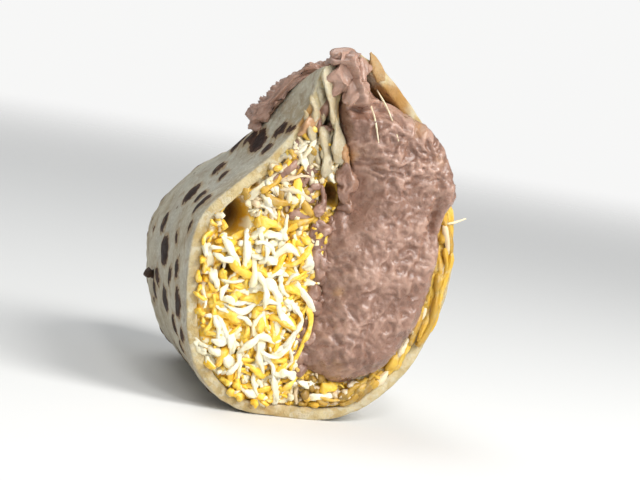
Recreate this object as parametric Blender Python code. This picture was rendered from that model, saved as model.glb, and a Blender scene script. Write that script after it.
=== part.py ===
"""Half of a bean and cheese burrito, lying on its side with the cut face towards -Y.

Sizes are millimetres in the section frame: x to the right and z up when the cut face
is looked at, y from the cut face to the closed end. Each section is worked out at its
own y, and neighbouring sections are skinned into closed solids.
"""

import math

import bmesh
import bpy

MM = 0.001

# ---- the wrapped body ----
LENGTH = 82.0            # cut face to the tip of the closed end
END_POWER = 5.0          # how bluntly the closed end rounds off
ROUND_BY = 45.0          # the peaked cut section has turned round by this depth
WIDE_RIGHT = 31.3        # half widths of the cut section
WIDE_LEFT = 30.0
EQUATOR = 38.9           # height of the widest line at the cut, and further back
EQUATOR_BACK = 33.9
PEAK = 46.0              # rise of the top above the widest line, at the cut and back
PEAK_BACK = 33.0
PINCH_RIGHT = 1.66       # how far the right shoulder is drawn in under the peak
SHOULDER_LEFT = 10.5     # the neck under the left fold, and how sharply it widens
NECK_LEFT = 0.3
SPREAD_LEFT = 11.0
SINK = 0.9               # how much of the round bottom is pressed flat
TAPER_WIDE = 0.10
TAPER_HIGH = 0.20
CENTRE_X = 0.5
CENTRE_Z = 26.0          # the closed end rounds off about this height

# ---- the tortilla sheet ----
SHEET = 2.8
TUCK_SHEET = 2.3         # the inner edge, soaked and thinner
LAYER_GAP = 0.35
FLAP_FREE = (3.0, 3.0, -8.0, -28.0, -35.0)       # angle of the free edge, in degrees
FLAP_AT = (0.0, 34.0, 42.0, 53.0, 63.0)          # at these depths
FOLD = (-34.0, -14.0)    # angle where the inner edge turns in, at the cut and back
TUCK_CUT = ((-5.9, 80.0), (-3.9, 77.4), (-4.0, 72.5), (-2.6, 66.6), (0.8, 58.8), (1.6, 51.8))
TUCK_BACK = ((-2.5, 61.5), (0.3, 60.3), (1.4, 57.8), (1.7, 54.6), (1.9, 50.0), (1.9, 45.0))
END_OF_SHEET = 75.5
WRAP_POINTS = 37         # points across one section: the wrap, then the tucked edge
TUCK_POINTS = 15

# ---- the folded-in end ----
FOLD_CREASES = (20.0, 100.0, 205.0, 290.0)
CREASE_DEPTH = 0.22
END_RINGS = ((69.8, 0.97), (72.5, 1.0), (75.0, 1.0), (77.2, 0.93), (79.2, 0.78), (80.8, 0.58),
             (81.7, 0.36), (82.0, 0.16))

# ---- the filling ----
CHEESE_FRONT = 1.2
CHEESE_POINTS = 32
GAP = 0.35
SEAM_CLEAR = 1.2
BEAN_FRONT = 6.6         # how far the beans stand out of the cut face
STATIONS = (4.0, 8.0, 10.5, 14.0, 18.0, 22.0, 25.5, 28.5, 31.0, 33.5, 37.0, 41.0, 46.0, 52.0,
            58.0, 64.0, 68.5)
PARTING = ((1.2, 49.0), (-0.2, 45.3), (-0.3, 40.5), (-0.4, 35.5), (0.5, 29.5), (-0.2, 24.0),
           (-1.6, 18.5), (-1.0, 13.4))
PARTING_DROP = (6.6, 4.6, 2.0, 0.5, 0.0, 0.0, 0.0, 0.0)
PARTING_ANGLE = (62.0, 75.0, 90.0, 110.0, 130.0, 150.0, 170.0)
PARTING_INSET = (3.6, 4.3, 4.9, 5.0, 5.4, 7.6, 9.7)
SPILL_ANGLE = (8.0, 20.0, 33.0, 45.0, 54.0, 62.0, 67.0, 73.0, 100.0, 130.0, 170.0)
SPILL_INSET = (3.6, 6.4, 5.2, 1.6, -0.3, -0.1, 1.6, 5.4, 5.8, 6.2, 10.1)
LUMP_AT = 19.5           # the lump of beans pressed out of the seam
LUMP_REACH = 11.0
LUMP_LEFT = 10.0
LUMP_HIGH = 7.0
LUMP_SHAPE = ((0.0, 0.5, -0.1), (0.22, 0.95, -0.03), (0.55, 1.1, 0.0), (0.85, 0.7, 0.0))


# ---------------------------------------------------------------- small helpers

def mix(a, b, t):
    return a + (b - a) * t


def ease(t):
    t = min(1.0, max(0.0, t))
    return t * t * (3.0 - 2.0 * t)


def table(x, at, values):
    """Smooth interpolation in a short table of named sizes."""
    if x <= at[0]:
        return values[0]
    for k in range(len(at) - 1):
        if x <= at[k + 1]:
            return mix(values[k], values[k + 1], ease((x - at[k]) / (at[k + 1] - at[k])))
    return values[-1]


def curve(points, per):
    """A smooth curve through the points (Catmull-Rom), `per` steps a span."""
    first = [2 * points[0][i] - points[1][i] for i in (0, 1)]
    last = [2 * points[-1][i] - points[-2][i] for i in (0, 1)]
    p = [first] + [list(q) for q in points] + [last]
    out = []
    for k in range(1, len(p) - 2):
        for j in range(per):
            t = j / per
            out.append(tuple(
                0.5 * (2 * p[k][i] + (p[k + 1][i] - p[k - 1][i]) * t
                       + (2 * p[k - 1][i] - 5 * p[k][i] + 4 * p[k + 1][i] - p[k + 2][i]) * t * t
                       + (3 * p[k][i] - p[k - 1][i] - 3 * p[k + 1][i] + p[k + 2][i]) * t ** 3)
                for i in (0, 1)))
    out.append(tuple(points[-1]))
    return out


def even(points, count, closed=False):
    """`count` points at equal steps along a polyline."""
    path = list(points) + ([points[0]] if closed else [])
    run = [0.0]
    for a, b in zip(path, path[1:]):
        run.append(run[-1] + math.dist(a, b))
    steps = count if closed else count - 1
    out = []
    k = 0
    for j in range(count):
        want = run[-1] * j / steps
        while k < len(path) - 2 and run[k + 1] < want:
            k += 1
        span = run[k + 1] - run[k]
        t = (want - run[k]) / span if span > 1e-9 else 0.0
        out.append((mix(path[k][0], path[k + 1][0], t), mix(path[k][1], path[k + 1][1], t)))
    return out


def beside(points, offset):
    """The polyline moved sideways, to the left of its direction; offset(k) gives how far."""
    out = []
    for k, (x, z) in enumerate(points):
        ax, az = points[max(0, k - 1)]
        bx, bz = points[min(len(points) - 1, k + 1)]
        run = math.hypot(bx - ax, bz - az) or 1.0
        out.append((x - (bz - az) / run * offset(k), z + (bx - ax) / run * offset(k)))
    for turn in range(12):
        for k in range(len(points) - 1):
            step = (points[k + 1][0] - points[k][0], points[k + 1][1] - points[k][1])
            move = (out[k + 1][0] - out[k][0], out[k + 1][1] - out[k][1])
            size = step[0] ** 2 + step[1] ** 2
            if step[0] * move[0] + step[1] * move[1] < 0.16 * size:
                middle = (mix(out[k][0], out[k + 1][0], 0.5), mix(out[k][1], out[k + 1][1], 0.5))
                out[k] = (middle[0] - 0.12 * step[0], middle[1] - 0.12 * step[1])
                out[k + 1] = (middle[0] + 0.12 * step[0], middle[1] + 0.12 * step[1])
    return out


# ---------------------------------------------------------------- the outline

def power(base, exponent):
    return max(0.0, base) ** exponent


def place(x, z, y):
    """A point of the straight section, moved for the taper and the closed end."""
    t = max(0.0, y) / LENGTH
    rounded = power(1 - t ** END_POWER, 0.5)
    side = rounded * (1 - TAPER_WIDE * t)
    above = rounded * (1 - TAPER_HIGH * t)
    below = power(1 - t ** 9, 0.5)
    z -= SINK
    rise = z - CENTRE_Z
    z = CENTRE_Z + rise * (above if rise > 0 else below)
    return CENTRE_X + (x - CENTRE_X) * side, max(0.0, z)


def outline(degrees, y):
    """The outside of the wrap at an angle from the top, clockwise on the cut face."""
    back = ease(y / ROUND_BY)
    s = math.sin(math.radians(degrees))
    c = math.cos(math.radians(degrees))
    equator = mix(EQUATOR, EQUATOR_BACK, back)
    a = abs(s)
    if c >= 0:
        z = equator + mix(PEAK, PEAK_BACK, back) * c
        if s >= 0:
            x = WIDE_RIGHT * a ** mix(PINCH_RIGHT, 1.0, back)
        else:
            spread = mix(WIDE_LEFT - SHOULDER_LEFT, 0.0, back) * a ** SPREAD_LEFT
            neck = mix(SHOULDER_LEFT, WIDE_LEFT, back) * a ** mix(NECK_LEFT, 1.0, back)
            x = -spread - neck
    else:
        fullness = mix(2.05, 2.25, back) if s >= 0 else mix(2.85, 2.35, back)
        x = (WIDE_RIGHT if s >= 0 else -WIDE_LEFT) * a ** (2 / fullness)
        z = equator * (1 - abs(c) ** (2 / fullness))
    return place(x, z, y)


def wall(degrees, inset, y):
    """A point `inset` mm inside the outline."""
    ax, az = outline(degrees - 1.0, y)
    bx, bz = outline(degrees + 1.0, y)
    run = math.hypot(bx - ax, bz - az) or 1.0
    x, z = outline(degrees, y)
    return x + (bz - az) / run * inset, z - (bx - ax) / run * inset


# ---------------------------------------------------------------- the wrapped sheet

def free_edge(y):
    return table(y, FLAP_AT, FLAP_FREE)


def under_flap(degrees, y):
    """How far the sheet dips under its own free edge at this angle (about -60 to 0)."""
    edge = free_edge(y)
    return (SHEET + LAYER_GAP) * ease((degrees - (edge - 18.0)) / 12.0) * ease((y - 36.0) / 8.0)


def fold_angle(y):
    return mix(FOLD[0], FOLD[1], ease(y / ROUND_BY))


def settle(y):
    """The tucked edge sits lower where the body tapers, as the sheet keeps its thickness."""
    t = y / LENGTH
    return 5.4 * ease(y / ROUND_BY) * (1 - power(1 - t ** END_POWER, 0.5) * (1 - TAPER_HIGH * t))


def tuck(y):
    """The inner edge: over the fold and down into the filling."""
    back = ease(y / ROUND_BY)
    line = []
    for a, b in zip(TUCK_CUT, TUCK_BACK):
        x, z = place(mix(a[0], b[0], back), mix(a[1], b[1], back), y)
        line.append((x, z - settle(y)))
    return line


def sheet_path(y):
    """The middle of the sheet from its free edge round to the tucked end, with half thicknesses."""
    start = free_edge(y)
    stop = 360.0 + fold_angle(y)
    dense = []
    steps = 240
    for k in range(steps + 1):
        angle = mix(start, stop, k / steps)
        dip = under_flap(angle - 360.0, y) if angle > 270.0 else 0.0
        dense.append(wall(angle, SHEET / 2 + dip, y))
    wrap = even(dense, WRAP_POINTS)
    tail = even(curve([wrap[-2], wrap[-1]] + tuck(y), 8)[8:], TUCK_POINTS)
    path = wrap + tail[1:]
    half = [SHEET / 2] * len(wrap)
    for k in range(1, len(tail)):
        half.append(mix(SHEET, TUCK_SHEET, ease(k / 7.0)) / 2)
    half[0] *= 0.55
    half[1] *= 0.92
    half[-1] *= 0.5
    return path, half


# ---------------------------------------------------------------- the filling loops

def sheet_face(y, side, clear=GAP):
    """The clear line beside the sheet, on its outside (+1) or inside (-1)."""
    path, half = sheet_path(y)
    return beside(path, lambda k: side * (half[k] + clear))


def along(points, start):
    """The point `start` mm along a polyline."""
    for a, b in zip(points, points[1:]):
        step = math.dist(a, b)
        if start <= step:
            return (mix(a[0], b[0], start / step), mix(a[1], b[1], start / step))
        start -= step
    return points[-1]


def length(points):
    return sum(math.dist(a, b) for a, b in zip(points, points[1:]))


def parting(y, aside):
    """The line where beans and cheese meet, from under the tuck down to the bottom."""
    back = ease(y / ROUND_BY)
    line = []
    for (x, z), drop in zip(PARTING, PARTING_DROP):
        px, pz = place(x, z - back * drop, y)
        line.append((px, pz - settle(y) * drop / PARTING_DROP[0]))
    return beside(curve(line, 4), lambda k: aside)


def lump(y):
    """How much the beans swell out of the seam: a little at the cut, and a lump further back."""
    front = 0.22 * ease(1.0 - abs(y) / 8.0)
    return front + power(1.0 - ((y - LUMP_AT) / LUMP_REACH) ** 2, 1.1)


def seam_line(y):
    """The beans' upper edge: up the tucked sheet, out over the fold, and back to the free edge."""
    swell = lump(y)
    closing = ease((y - 28.5) / 5.0)
    up = sheet_face(y, 1.0, GAP + SEAM_CLEAR)[WRAP_POINTS - 10:]
    up.reverse()
    tail = length(up[:-9])
    stop = tail * mix(0.77, 0.56, closing) + (0.23 * tail + LUMP_LEFT) * swell
    rise = [along(up, stop * k / 40.0) for k in range(41)]
    path, half = sheet_path(y)
    tip = path[0]
    run = math.dist(tip, path[1])
    out_x, out_z = (tip[0] - path[1][0]) / run, (tip[1] - path[1][1]) / run
    clear = half[0] + GAP
    corner = (tip[0] + 0.5 * out_x - clear * out_z, tip[1] + 0.5 * out_z + clear * out_x)
    beyond = (tip[0] + 0.8 * out_x - 0.3, tip[1] + 0.8 * out_z + 0.3)
    shut = wall(5.0, SHEET + GAP, y)
    middle = (mix(rise[-1][0], shut[0], 0.5), mix(rise[-1][1], shut[1], 0.5))
    corner = (mix(corner[0], shut[0], closing), mix(corner[1], shut[1], closing))
    beyond = (mix(beyond[0], middle[0], closing), mix(beyond[1], middle[1], closing))
    end = rise[-1]
    high = LUMP_HIGH * swell
    wide = (LUMP_LEFT + 6.0) * swell
    crown = [end]
    for share, lift, out in LUMP_SHAPE:
        crown.append((mix(end[0], beyond[0], share) + out * wide,
                      mix(end[1], beyond[1], share) + lift * high))
    return rise, crown + [beyond], corner


def bean_loop(y, spill):
    """The outline of the beans at one section; spill is 1 in front of the cut face."""
    lower = parting(y, GAP * 1.1)
    lower.reverse()
    rise, crown, corner = seam_line(y)
    points = even(lower, 12) + even(rise, 18) + even(curve(crown, 6), 12)[1:] + [corner]
    for k in range(1, 25):
        angle = mix(8.0, 171.0, k / 24.0)
        inset = SHEET + GAP
        if angle >= 60.0:
            inset = max(inset, table(angle, PARTING_ANGLE, PARTING_INSET) + GAP)
        if angle >= 8.0:
            inset = mix(inset, table(angle, SPILL_ANGLE, SPILL_INSET), spill)
        points.append(wall(angle, inset, y))
    return points


def cheese_sides(y):
    """Matching points along the wall and along the beans, from the top left round to the right."""
    face = sheet_face(y, -1.0, GAP + 0.12)
    back = ease(y / ROUND_BY)
    lower_right = wall(76.0, SHEET + GAP, y)
    near = min(range(4, 20), key=lambda k: math.dist(face[k], lower_right))
    outer = face[near + 1:WRAP_POINTS - 1]
    outer.reverse()
    outer = outer[int(mix(1.0, 0.0, back) + 0.5):] + [lower_right]
    inner = face[WRAP_POINTS + int(mix(6.5, 4.0, back)):] + parting(y, -GAP * 1.5)
    for k in range(41):
        angle = mix(169.0, 76.0, k / 40.0)
        inner.append(wall(angle, table(angle, PARTING_ANGLE, PARTING_INSET) - GAP * 1.5, y))
    return outer, inner


# ---------------------------------------------------------------- solids

def skin(rings):
    """A closed mesh through matching rings of points, capped at both ends."""
    count = len(rings[0])
    points = [p for ring in rings for p in ring]
    faces = []
    for j in range(len(rings) - 1):
        for k in range(count):
            after = (k + 1) % count
            faces.append((j * count + k, j * count + after,
                          (j + 1) * count + after, (j + 1) * count + k))
    faces.append(tuple(range(count - 1, -1, -1)))
    last = (len(rings) - 1) * count
    faces.append(tuple(range(last, last + count)))
    return points, faces


def thick(sides):
    """A closed mesh from pairs of matching polylines, one pair a section."""
    count = len(sides[0][0])
    points = [p for a, b in sides for line in (a, b) for p in line]
    faces = []

    def at(j, side, k):
        return (j * 2 + side) * count + k

    last = len(sides) - 1
    for j in range(last):
        for k in range(count - 1):
            faces.append((at(j, 0, k), at(j, 0, k + 1), at(j + 1, 0, k + 1), at(j + 1, 0, k)))
            faces.append((at(j, 1, k + 1), at(j, 1, k), at(j + 1, 1, k), at(j + 1, 1, k + 1)))
        for k, near, far in ((0, 1, 0), (count - 1, 0, 1)):
            faces.append((at(j, near, k), at(j, far, k), at(j + 1, far, k), at(j + 1, near, k)))
    for k in range(count - 1):
        faces.append((at(0, 0, k + 1), at(0, 0, k), at(0, 1, k), at(0, 1, k + 1)))
        faces.append((at(last, 0, k), at(last, 0, k + 1), at(last, 1, k + 1), at(last, 1, k)))
    return points, faces


def lifted(points, y):
    return [(x, y, z) for x, z in points]


def tortilla_sheet():
    sides = []
    for y in (0.0,) + STATIONS + (72.5, END_OF_SHEET):
        path, half = sheet_path(y)
        outer = beside(path, lambda k: half[k])
        inner = beside(path, lambda k: -half[k])
        sides.append((lifted(outer, y), lifted(inner, y)))
    return thick(sides)


def end_ring(y, shrink):
    """One ring of the folded-in end, inside the sheet and then rounding off beyond it."""
    ring = []
    for k in range(36):
        angle = 360.0 * k / 36
        turn = angle if angle <= 180.0 else angle - 360.0
        dip = under_flap(turn, y) * ease((6.0 - turn) / 8.0) if turn > -90.0 else 0.0
        x, z = wall(angle, SHEET * 0.55 + dip, min(y, END_OF_SHEET))
        crease = 0.0
        for at in FOLD_CREASES:
            away = abs((angle - at + 180.0) % 360.0 - 180.0)
            crease = max(crease, 1.0 - ease(away / 24.0))
        pull = shrink * (1.0 - CREASE_DEPTH * crease * min(1.0, 2.2 * (1.0 - shrink)))
        ring.append((CENTRE_X + (x - CENTRE_X) * pull, y, CENTRE_Z + (z - CENTRE_Z) * pull))
    return ring


def folded_end():
    rings = []
    for y, shrink in END_RINGS:
        rings.append(end_ring(y, shrink))
    return skin(rings)


def beans():
    rings = []
    middle = (13.0, 40.0)
    for out, shrink in ((1.0, 0.55), (0.92, 0.76), (0.68, 0.91), (0.35, 0.985), (0.06, 1.0)):
        ring = []
        for x, z in bean_loop(0.0, 1.0):
            ring.append((mix(middle[0], x, shrink), -BEAN_FRONT * out, mix(middle[1], z, shrink)))
        rings.append(ring)
    for y in (-0.35,) + STATIONS:
        rings.append(lifted(bean_loop(max(0.0, y), 0.0), y))
    return skin(rings)


def cheese():
    sides = []
    for y in (-CHEESE_FRONT, 0.0) + STATIONS:
        outer, inner = cheese_sides(max(0.0, y))
        outer = even(outer, CHEESE_POINTS)
        inner = even(inner, CHEESE_POINTS)
        if y < 0:
            outer = [(mix(a[0], b[0], 0.09), mix(a[1], b[1], 0.09)) for a, b in zip(outer, inner)]
        sides.append((lifted(outer, y), lifted(inner, y)))
    return thick(sides)


def material(name, colour, roughness):
    made = bpy.data.materials.new(name)
    made.use_nodes = True
    shader = made.node_tree.nodes["Principled BSDF"]
    shader.inputs["Base Color"].default_value = (*colour, 1.0)
    shader.inputs["Roughness"].default_value = roughness
    return made


def add(name, mesh_parts, shift, colour, roughness):
    """One closed object, its faces turned outwards."""
    points, faces = mesh_parts
    data = bpy.data.meshes.new(name)
    moved = [tuple((p[i] - shift[i]) * MM for i in range(3)) for p in points]
    data.from_pydata(moved, [], faces)
    body = bmesh.new()
    body.from_mesh(data)
    bmesh.ops.triangulate(body, faces=body.faces[:])
    bmesh.ops.recalc_face_normals(body, faces=body.faces[:])
    if body.calc_volume(signed=True) < 0:
        bmesh.ops.reverse_faces(body, faces=body.faces[:])
    body.to_mesh(data)
    body.free()
    made = bpy.data.objects.new(name, data)
    bpy.context.scene.collection.objects.link(made)
    data.materials.append(material(name + "_colour", colour, roughness))
    return made


def middle_of(*shapes):
    """The middle of the footprint and the lowest point of everything."""
    points = [p for shape in shapes for p in shape[0]]
    low = [min(p[i] for p in points) for i in range(3)]
    high = [max(p[i] for p in points) for i in range(3)]
    return ((low[0] + high[0]) / 2, (low[1] + high[1]) / 2, low[2])


def main():
    for old in list(bpy.data.objects):
        bpy.data.objects.remove(old, do_unlink=True)
    sheet = tortilla_sheet()
    end = folded_end()
    bean = beans()
    shred = cheese()
    shift = middle_of(sheet, end, bean, shred)
    tortilla = add("tortilla", sheet, shift, (0.74, 0.62, 0.42), 0.75)
    cap = add("folded_end", end, shift, (0.74, 0.62, 0.42), 0.75)
    cap.hide_render = True
    join = tortilla.modifiers.new("join_folded_end", "BOOLEAN")
    join.operation = "UNION"
    join.solver = "EXACT"
    join.object = cap
    add("refried_beans", bean, shift, (0.36, 0.20, 0.15), 0.4)
    add("shredded_cheese", shred, shift, (0.90, 0.66, 0.16), 0.55)


main()
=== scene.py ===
"""The looks of half a bean and cheese burrito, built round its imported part.

Sizes are millimetres in the section frame of the part: x to the right and z up when the
cut face is looked at, y from the cut face to the closed end. Pieces are worked out there
and moved to the row frame as they are added.
"""

import math
import random

import bmesh
import bpy
import numpy as np
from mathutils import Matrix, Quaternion, Vector, noise
from mathutils.geometry import delaunay_2d_cdt


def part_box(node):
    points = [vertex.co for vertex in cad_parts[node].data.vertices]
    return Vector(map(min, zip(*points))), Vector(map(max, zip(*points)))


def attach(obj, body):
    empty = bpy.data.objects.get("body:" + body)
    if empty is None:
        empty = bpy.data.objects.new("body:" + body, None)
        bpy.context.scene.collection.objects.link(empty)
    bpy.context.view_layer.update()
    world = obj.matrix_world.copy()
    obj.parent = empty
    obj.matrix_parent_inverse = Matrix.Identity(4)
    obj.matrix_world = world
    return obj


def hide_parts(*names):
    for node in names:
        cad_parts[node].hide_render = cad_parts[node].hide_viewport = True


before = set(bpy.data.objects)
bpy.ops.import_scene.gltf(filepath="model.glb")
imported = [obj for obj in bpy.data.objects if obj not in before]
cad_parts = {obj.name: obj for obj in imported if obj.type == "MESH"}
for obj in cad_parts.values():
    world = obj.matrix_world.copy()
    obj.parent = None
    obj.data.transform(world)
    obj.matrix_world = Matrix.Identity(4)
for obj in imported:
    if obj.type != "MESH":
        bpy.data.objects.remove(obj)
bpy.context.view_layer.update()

MM = 0.001

# ---- the wrapped body, as in the part ----
LENGTH = 82.0
END_POWER = 5.0
ROUND_BY = 45.0
WIDE_RIGHT = 31.3
WIDE_LEFT = 30.0
CUT_WIDE_LEFT = 31.7      # the cut edge flares a little on the left
EQUATOR = 38.9
EQUATOR_BACK = 33.9
PEAK = 46.0
PEAK_BACK = 33.0
PINCH_RIGHT = 1.66
SHOULDER_LEFT = 10.5
NECK_LEFT = 0.3
SPREAD_LEFT = 11.0
SINK = 0.9
SHOULDER_BACK = 1.6      # the left shoulder is slack behind the cut
TAPER_WIDE = 0.13
TAPER_HIGH = 0.20
CENTRE_X = 0.5
CENTRE_Z = 26.0

# ---- the tortilla sheet ----
SHEET = 2.8
TUCK_SHEET = 2.3
LAYER_GAP = 0.35
FLAP_FREE = (3.0, 3.0, -8.0, -28.0, -35.0)
FLAP_AT = (0.0, 34.0, 42.0, 53.0, 63.0)
FOLD = (-34.0, -14.0)
TUCK_CUT = ((-5.9, 80.0), (-3.9, 77.4), (-4.0, 72.5), (-2.6, 66.6), (0.8, 58.8), (1.6, 51.8))
TUCK_BACK = ((-2.5, 61.5), (0.3, 60.3), (1.4, 57.8), (1.7, 54.6), (1.9, 50.0), (1.9, 45.0))
END_OF_SHEET = 75.5
WRAP_POINTS = 37
TUCK_POINTS = 15
FINE = 8                 # steps between two points of a section line

# ---- the folded-in end ----
END_CREASES = (15.0, 70.0, 118.0, 170.0, 222.0, 262.0, 318.0)

# ---- the filling ----
GAP = 0.35
SEAM_CLEAR = 1.2
BEAN_FRONT = 6.6
PARTING = ((1.2, 49.0), (-0.2, 45.3), (-0.3, 40.5), (-0.4, 35.5), (0.5, 29.5), (-0.2, 24.0),
           (-1.6, 18.5), (-1.0, 13.4))
PARTING_DROP = (6.6, 4.6, 2.0, 0.5, 0.0, 0.0, 0.0, 0.0)
PARTING_ANGLE = (62.0, 75.0, 90.0, 110.0, 130.0, 150.0, 170.0)
PARTING_INSET = (3.6, 4.3, 4.9, 5.0, 5.4, 7.6, 9.7)
SPILL_ANGLE = (8.0, 20.0, 33.0, 40.0, 46.0, 62.0, 68.0, 75.0, 100.0, 130.0, 170.0)
SPILL_INSET = (3.6, 6.4, 5.2, 2.4, -0.7, -1.0, 0.2, 4.8, 5.6, 6.2, 10.1)
BEAN_SWELL = 0.5         # the beans press this far into what they touch
HOLLOW_ANGLE = 26.0      # an open pocket between the beans and the wall, right of the peak
HOLLOW_WIDE = 15.0
LUMP_AT = 19.5
LUMP_REACH = 11.0
LUMP_LEFT = 10.0
LUMP_HIGH = 7.0
LUMP_SHAPE = ((0.0, 0.5, -0.1), (0.22, 0.95, -0.03), (0.55, 1.1, 0.0), (0.85, 0.7, 0.0))

tortilla_low, tortilla_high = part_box("tortilla")
PART_LEFT = 29.98
ORIGIN = np.array((tortilla_low.x + PART_LEFT * MM, tortilla_low.y, tortilla_low.z))


# ---------------------------------------------------------------- small helpers

def mix(a, b, t):
    return a + (b - a) * t


def ease(t):
    t = min(1.0, max(0.0, t))
    return t * t * (3.0 - 2.0 * t)


def eased(values, start, stop):
    """Smooth 0 to 1 over an array, as its values go from start to stop."""
    t = np.clip((values - start) / (stop - start), 0.0, 1.0)
    return t * t * (3.0 - 2.0 * t)


def table(x, at, values):
    """Smooth interpolation in a short table of named sizes."""
    if x <= at[0]:
        return values[0]
    for k in range(len(at) - 1):
        if x <= at[k + 1]:
            return mix(values[k], values[k + 1], ease((x - at[k]) / (at[k + 1] - at[k])))
    return values[-1]


def curve(points, per, closed=False):
    """A smooth curve through the points (Catmull-Rom), `per` steps a span."""
    p = np.array(points, float)
    if closed:
        p = np.concatenate([p[-1:], p, p[:2]])
    else:
        p = np.concatenate([2 * p[:1] - p[1:2], p, 2 * p[-1:] - p[-2:-1]])
    t = (np.arange(per) / per)[None, :, None]
    a, b, c, d = (p[k:len(p) - 3 + k][:, None, :] for k in range(4))
    line = 0.5 * (2 * b + (c - a) * t + (2 * a - 5 * b + 4 * c - d) * t * t
                  + (3 * b - a - 3 * c + d) * t ** 3)
    line = line.reshape(-1, p.shape[1])
    return line if closed else np.concatenate([line, p[-2:-1]])


def even(points, count):
    """`count` points at equal steps along a polyline."""
    points = np.array(points, float)
    run = np.concatenate([[0.0], np.cumsum(np.linalg.norm(np.diff(points, axis=0), axis=1))])
    want = np.linspace(0.0, run[-1], count)
    return np.stack([np.interp(want, run, points[:, i]) for i in range(points.shape[1])], axis=1)


def beside(points, offset):
    """The polyline moved sideways, to the left of its direction; offset(k) gives how far."""
    out = []
    for k, (x, z) in enumerate(points):
        ax, az = points[max(0, k - 1)]
        bx, bz = points[min(len(points) - 1, k + 1)]
        run = math.hypot(bx - ax, bz - az) or 1.0
        out.append((x - (bz - az) / run * offset(k), z + (bx - ax) / run * offset(k)))
    for turn in range(12):
        for k in range(len(points) - 1):
            step = (points[k + 1][0] - points[k][0], points[k + 1][1] - points[k][1])
            move = (out[k + 1][0] - out[k][0], out[k + 1][1] - out[k][1])
            size = step[0] ** 2 + step[1] ** 2
            if step[0] * move[0] + step[1] * move[1] < 0.16 * size:
                middle = (mix(out[k][0], out[k + 1][0], 0.5), mix(out[k][1], out[k + 1][1], 0.5))
                out[k] = (middle[0] - 0.12 * step[0], middle[1] - 0.12 * step[1])
                out[k + 1] = (middle[0] + 0.12 * step[0], middle[1] + 0.12 * step[1])
    return out


# ---------------------------------------------------------------- the sections, as in the part

def power(base, exponent):
    return max(0.0, base) ** exponent


def place(x, z, y):
    """A point of the straight section, moved for the taper and the closed end."""
    t = max(0.0, y) / LENGTH
    rounded = power(1 - t ** END_POWER, 0.5)
    side = rounded * (1 - TAPER_WIDE * t)
    above = rounded * (1 - TAPER_HIGH * t)
    below = power(1 - t ** 9, 0.5)
    z -= SINK
    rise = z - CENTRE_Z
    z = CENTRE_Z + rise * (above if rise > 0 else below)
    return CENTRE_X + (x - CENTRE_X) * side, max(0.0, z)


def outline(degrees, y):
    """The outside of the wrap at an angle from the top, clockwise on the cut face."""
    back = ease(y / ROUND_BY)
    s = math.sin(math.radians(degrees))
    c = math.cos(math.radians(degrees))
    equator = mix(EQUATOR, EQUATOR_BACK, back)
    wide = mix(CUT_WIDE_LEFT, WIDE_LEFT, ease(y / 30.0))
    a = abs(s)
    if c >= 0:
        z = equator + mix(PEAK, PEAK_BACK, back) * c
        if s >= 0:
            x = WIDE_RIGHT * a ** mix(PINCH_RIGHT, 1.0, back)
        else:
            spread = mix(wide - SHOULDER_LEFT, 0.0, back) * a ** SPREAD_LEFT
            neck = mix(SHOULDER_LEFT, wide, back) * a ** mix(NECK_LEFT, SHOULDER_BACK, back)
            x = -spread - neck
    else:
        fullness = mix(2.05, 2.25, back) if s >= 0 else mix(2.85, 2.12, back)
        x = (WIDE_RIGHT if s >= 0 else -wide) * a ** (2 / fullness)
        z = equator * (1 - abs(c) ** (2 / fullness))
    return place(x, z, y)


def wall(degrees, inset, y):
    """A point `inset` mm inside the outline."""
    ax, az = outline(degrees - 1.0, y)
    bx, bz = outline(degrees + 1.0, y)
    run = math.hypot(bx - ax, bz - az) or 1.0
    x, z = outline(degrees, y)
    return x + (bz - az) / run * inset, z - (bx - ax) / run * inset


def free_edge(y):
    return table(y, FLAP_AT, FLAP_FREE)


def under_flap(degrees, y):
    """How far the sheet dips under its own free edge at this angle (about -60 to 0)."""
    edge = free_edge(y)
    return (SHEET + LAYER_GAP) * ease((degrees - (edge - 18.0)) / 12.0) * ease((y - 36.0) / 8.0)


def fold_angle(y):
    return mix(FOLD[0], FOLD[1], ease(y / ROUND_BY))


def settle(y):
    """The tucked edge sits lower where the body tapers, as the sheet keeps its thickness."""
    t = y / LENGTH
    return 5.4 * ease(y / ROUND_BY) * (1 - power(1 - t ** END_POWER, 0.5) * (1 - TAPER_HIGH * t))


def tuck(y):
    """The inner edge: over the fold and down into the filling."""
    back = ease(y / ROUND_BY)
    line = []
    for a, b in zip(TUCK_CUT, TUCK_BACK):
        x, z = place(mix(a[0], b[0], back), mix(a[1], b[1], back), y)
        line.append((x, z - settle(y)))
    return line


def sheet_path(y):
    """The middle of the sheet from its free edge round to the tucked end, with half thicknesses."""
    start = free_edge(y)
    stop = 360.0 + fold_angle(y)
    dense = []
    steps = 240
    for k in range(steps + 1):
        angle = mix(start, stop, k / steps)
        dip = under_flap(angle - 360.0, y) if angle > 270.0 else 0.0
        dense.append(wall(angle, SHEET / 2 + dip, y))
    wrap = even(dense, WRAP_POINTS).tolist()
    tail = even(curve([wrap[-2], wrap[-1]] + tuck(y), 8)[8:], TUCK_POINTS).tolist()
    path = wrap + tail[1:]
    half = [SHEET / 2] * len(wrap)
    for k in range(1, len(tail)):
        half.append(mix(SHEET, TUCK_SHEET, ease(k / 7.0)) / 2)
    half[0] *= 0.55
    half[1] *= 0.92
    half[-1] *= 0.5
    return path, half


def sheet_face(y, side, clear=GAP):
    """The clear line beside the sheet, on its outside (+1) or inside (-1)."""
    path, half = sheet_path(y)
    return beside(path, lambda k: side * (half[k] + clear))


def along(points, start):
    """The point `start` mm along a polyline."""
    for a, b in zip(points, points[1:]):
        step = math.dist(a, b)
        if start <= step:
            return (mix(a[0], b[0], start / step), mix(a[1], b[1], start / step))
        start -= step
    return points[-1]


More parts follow.
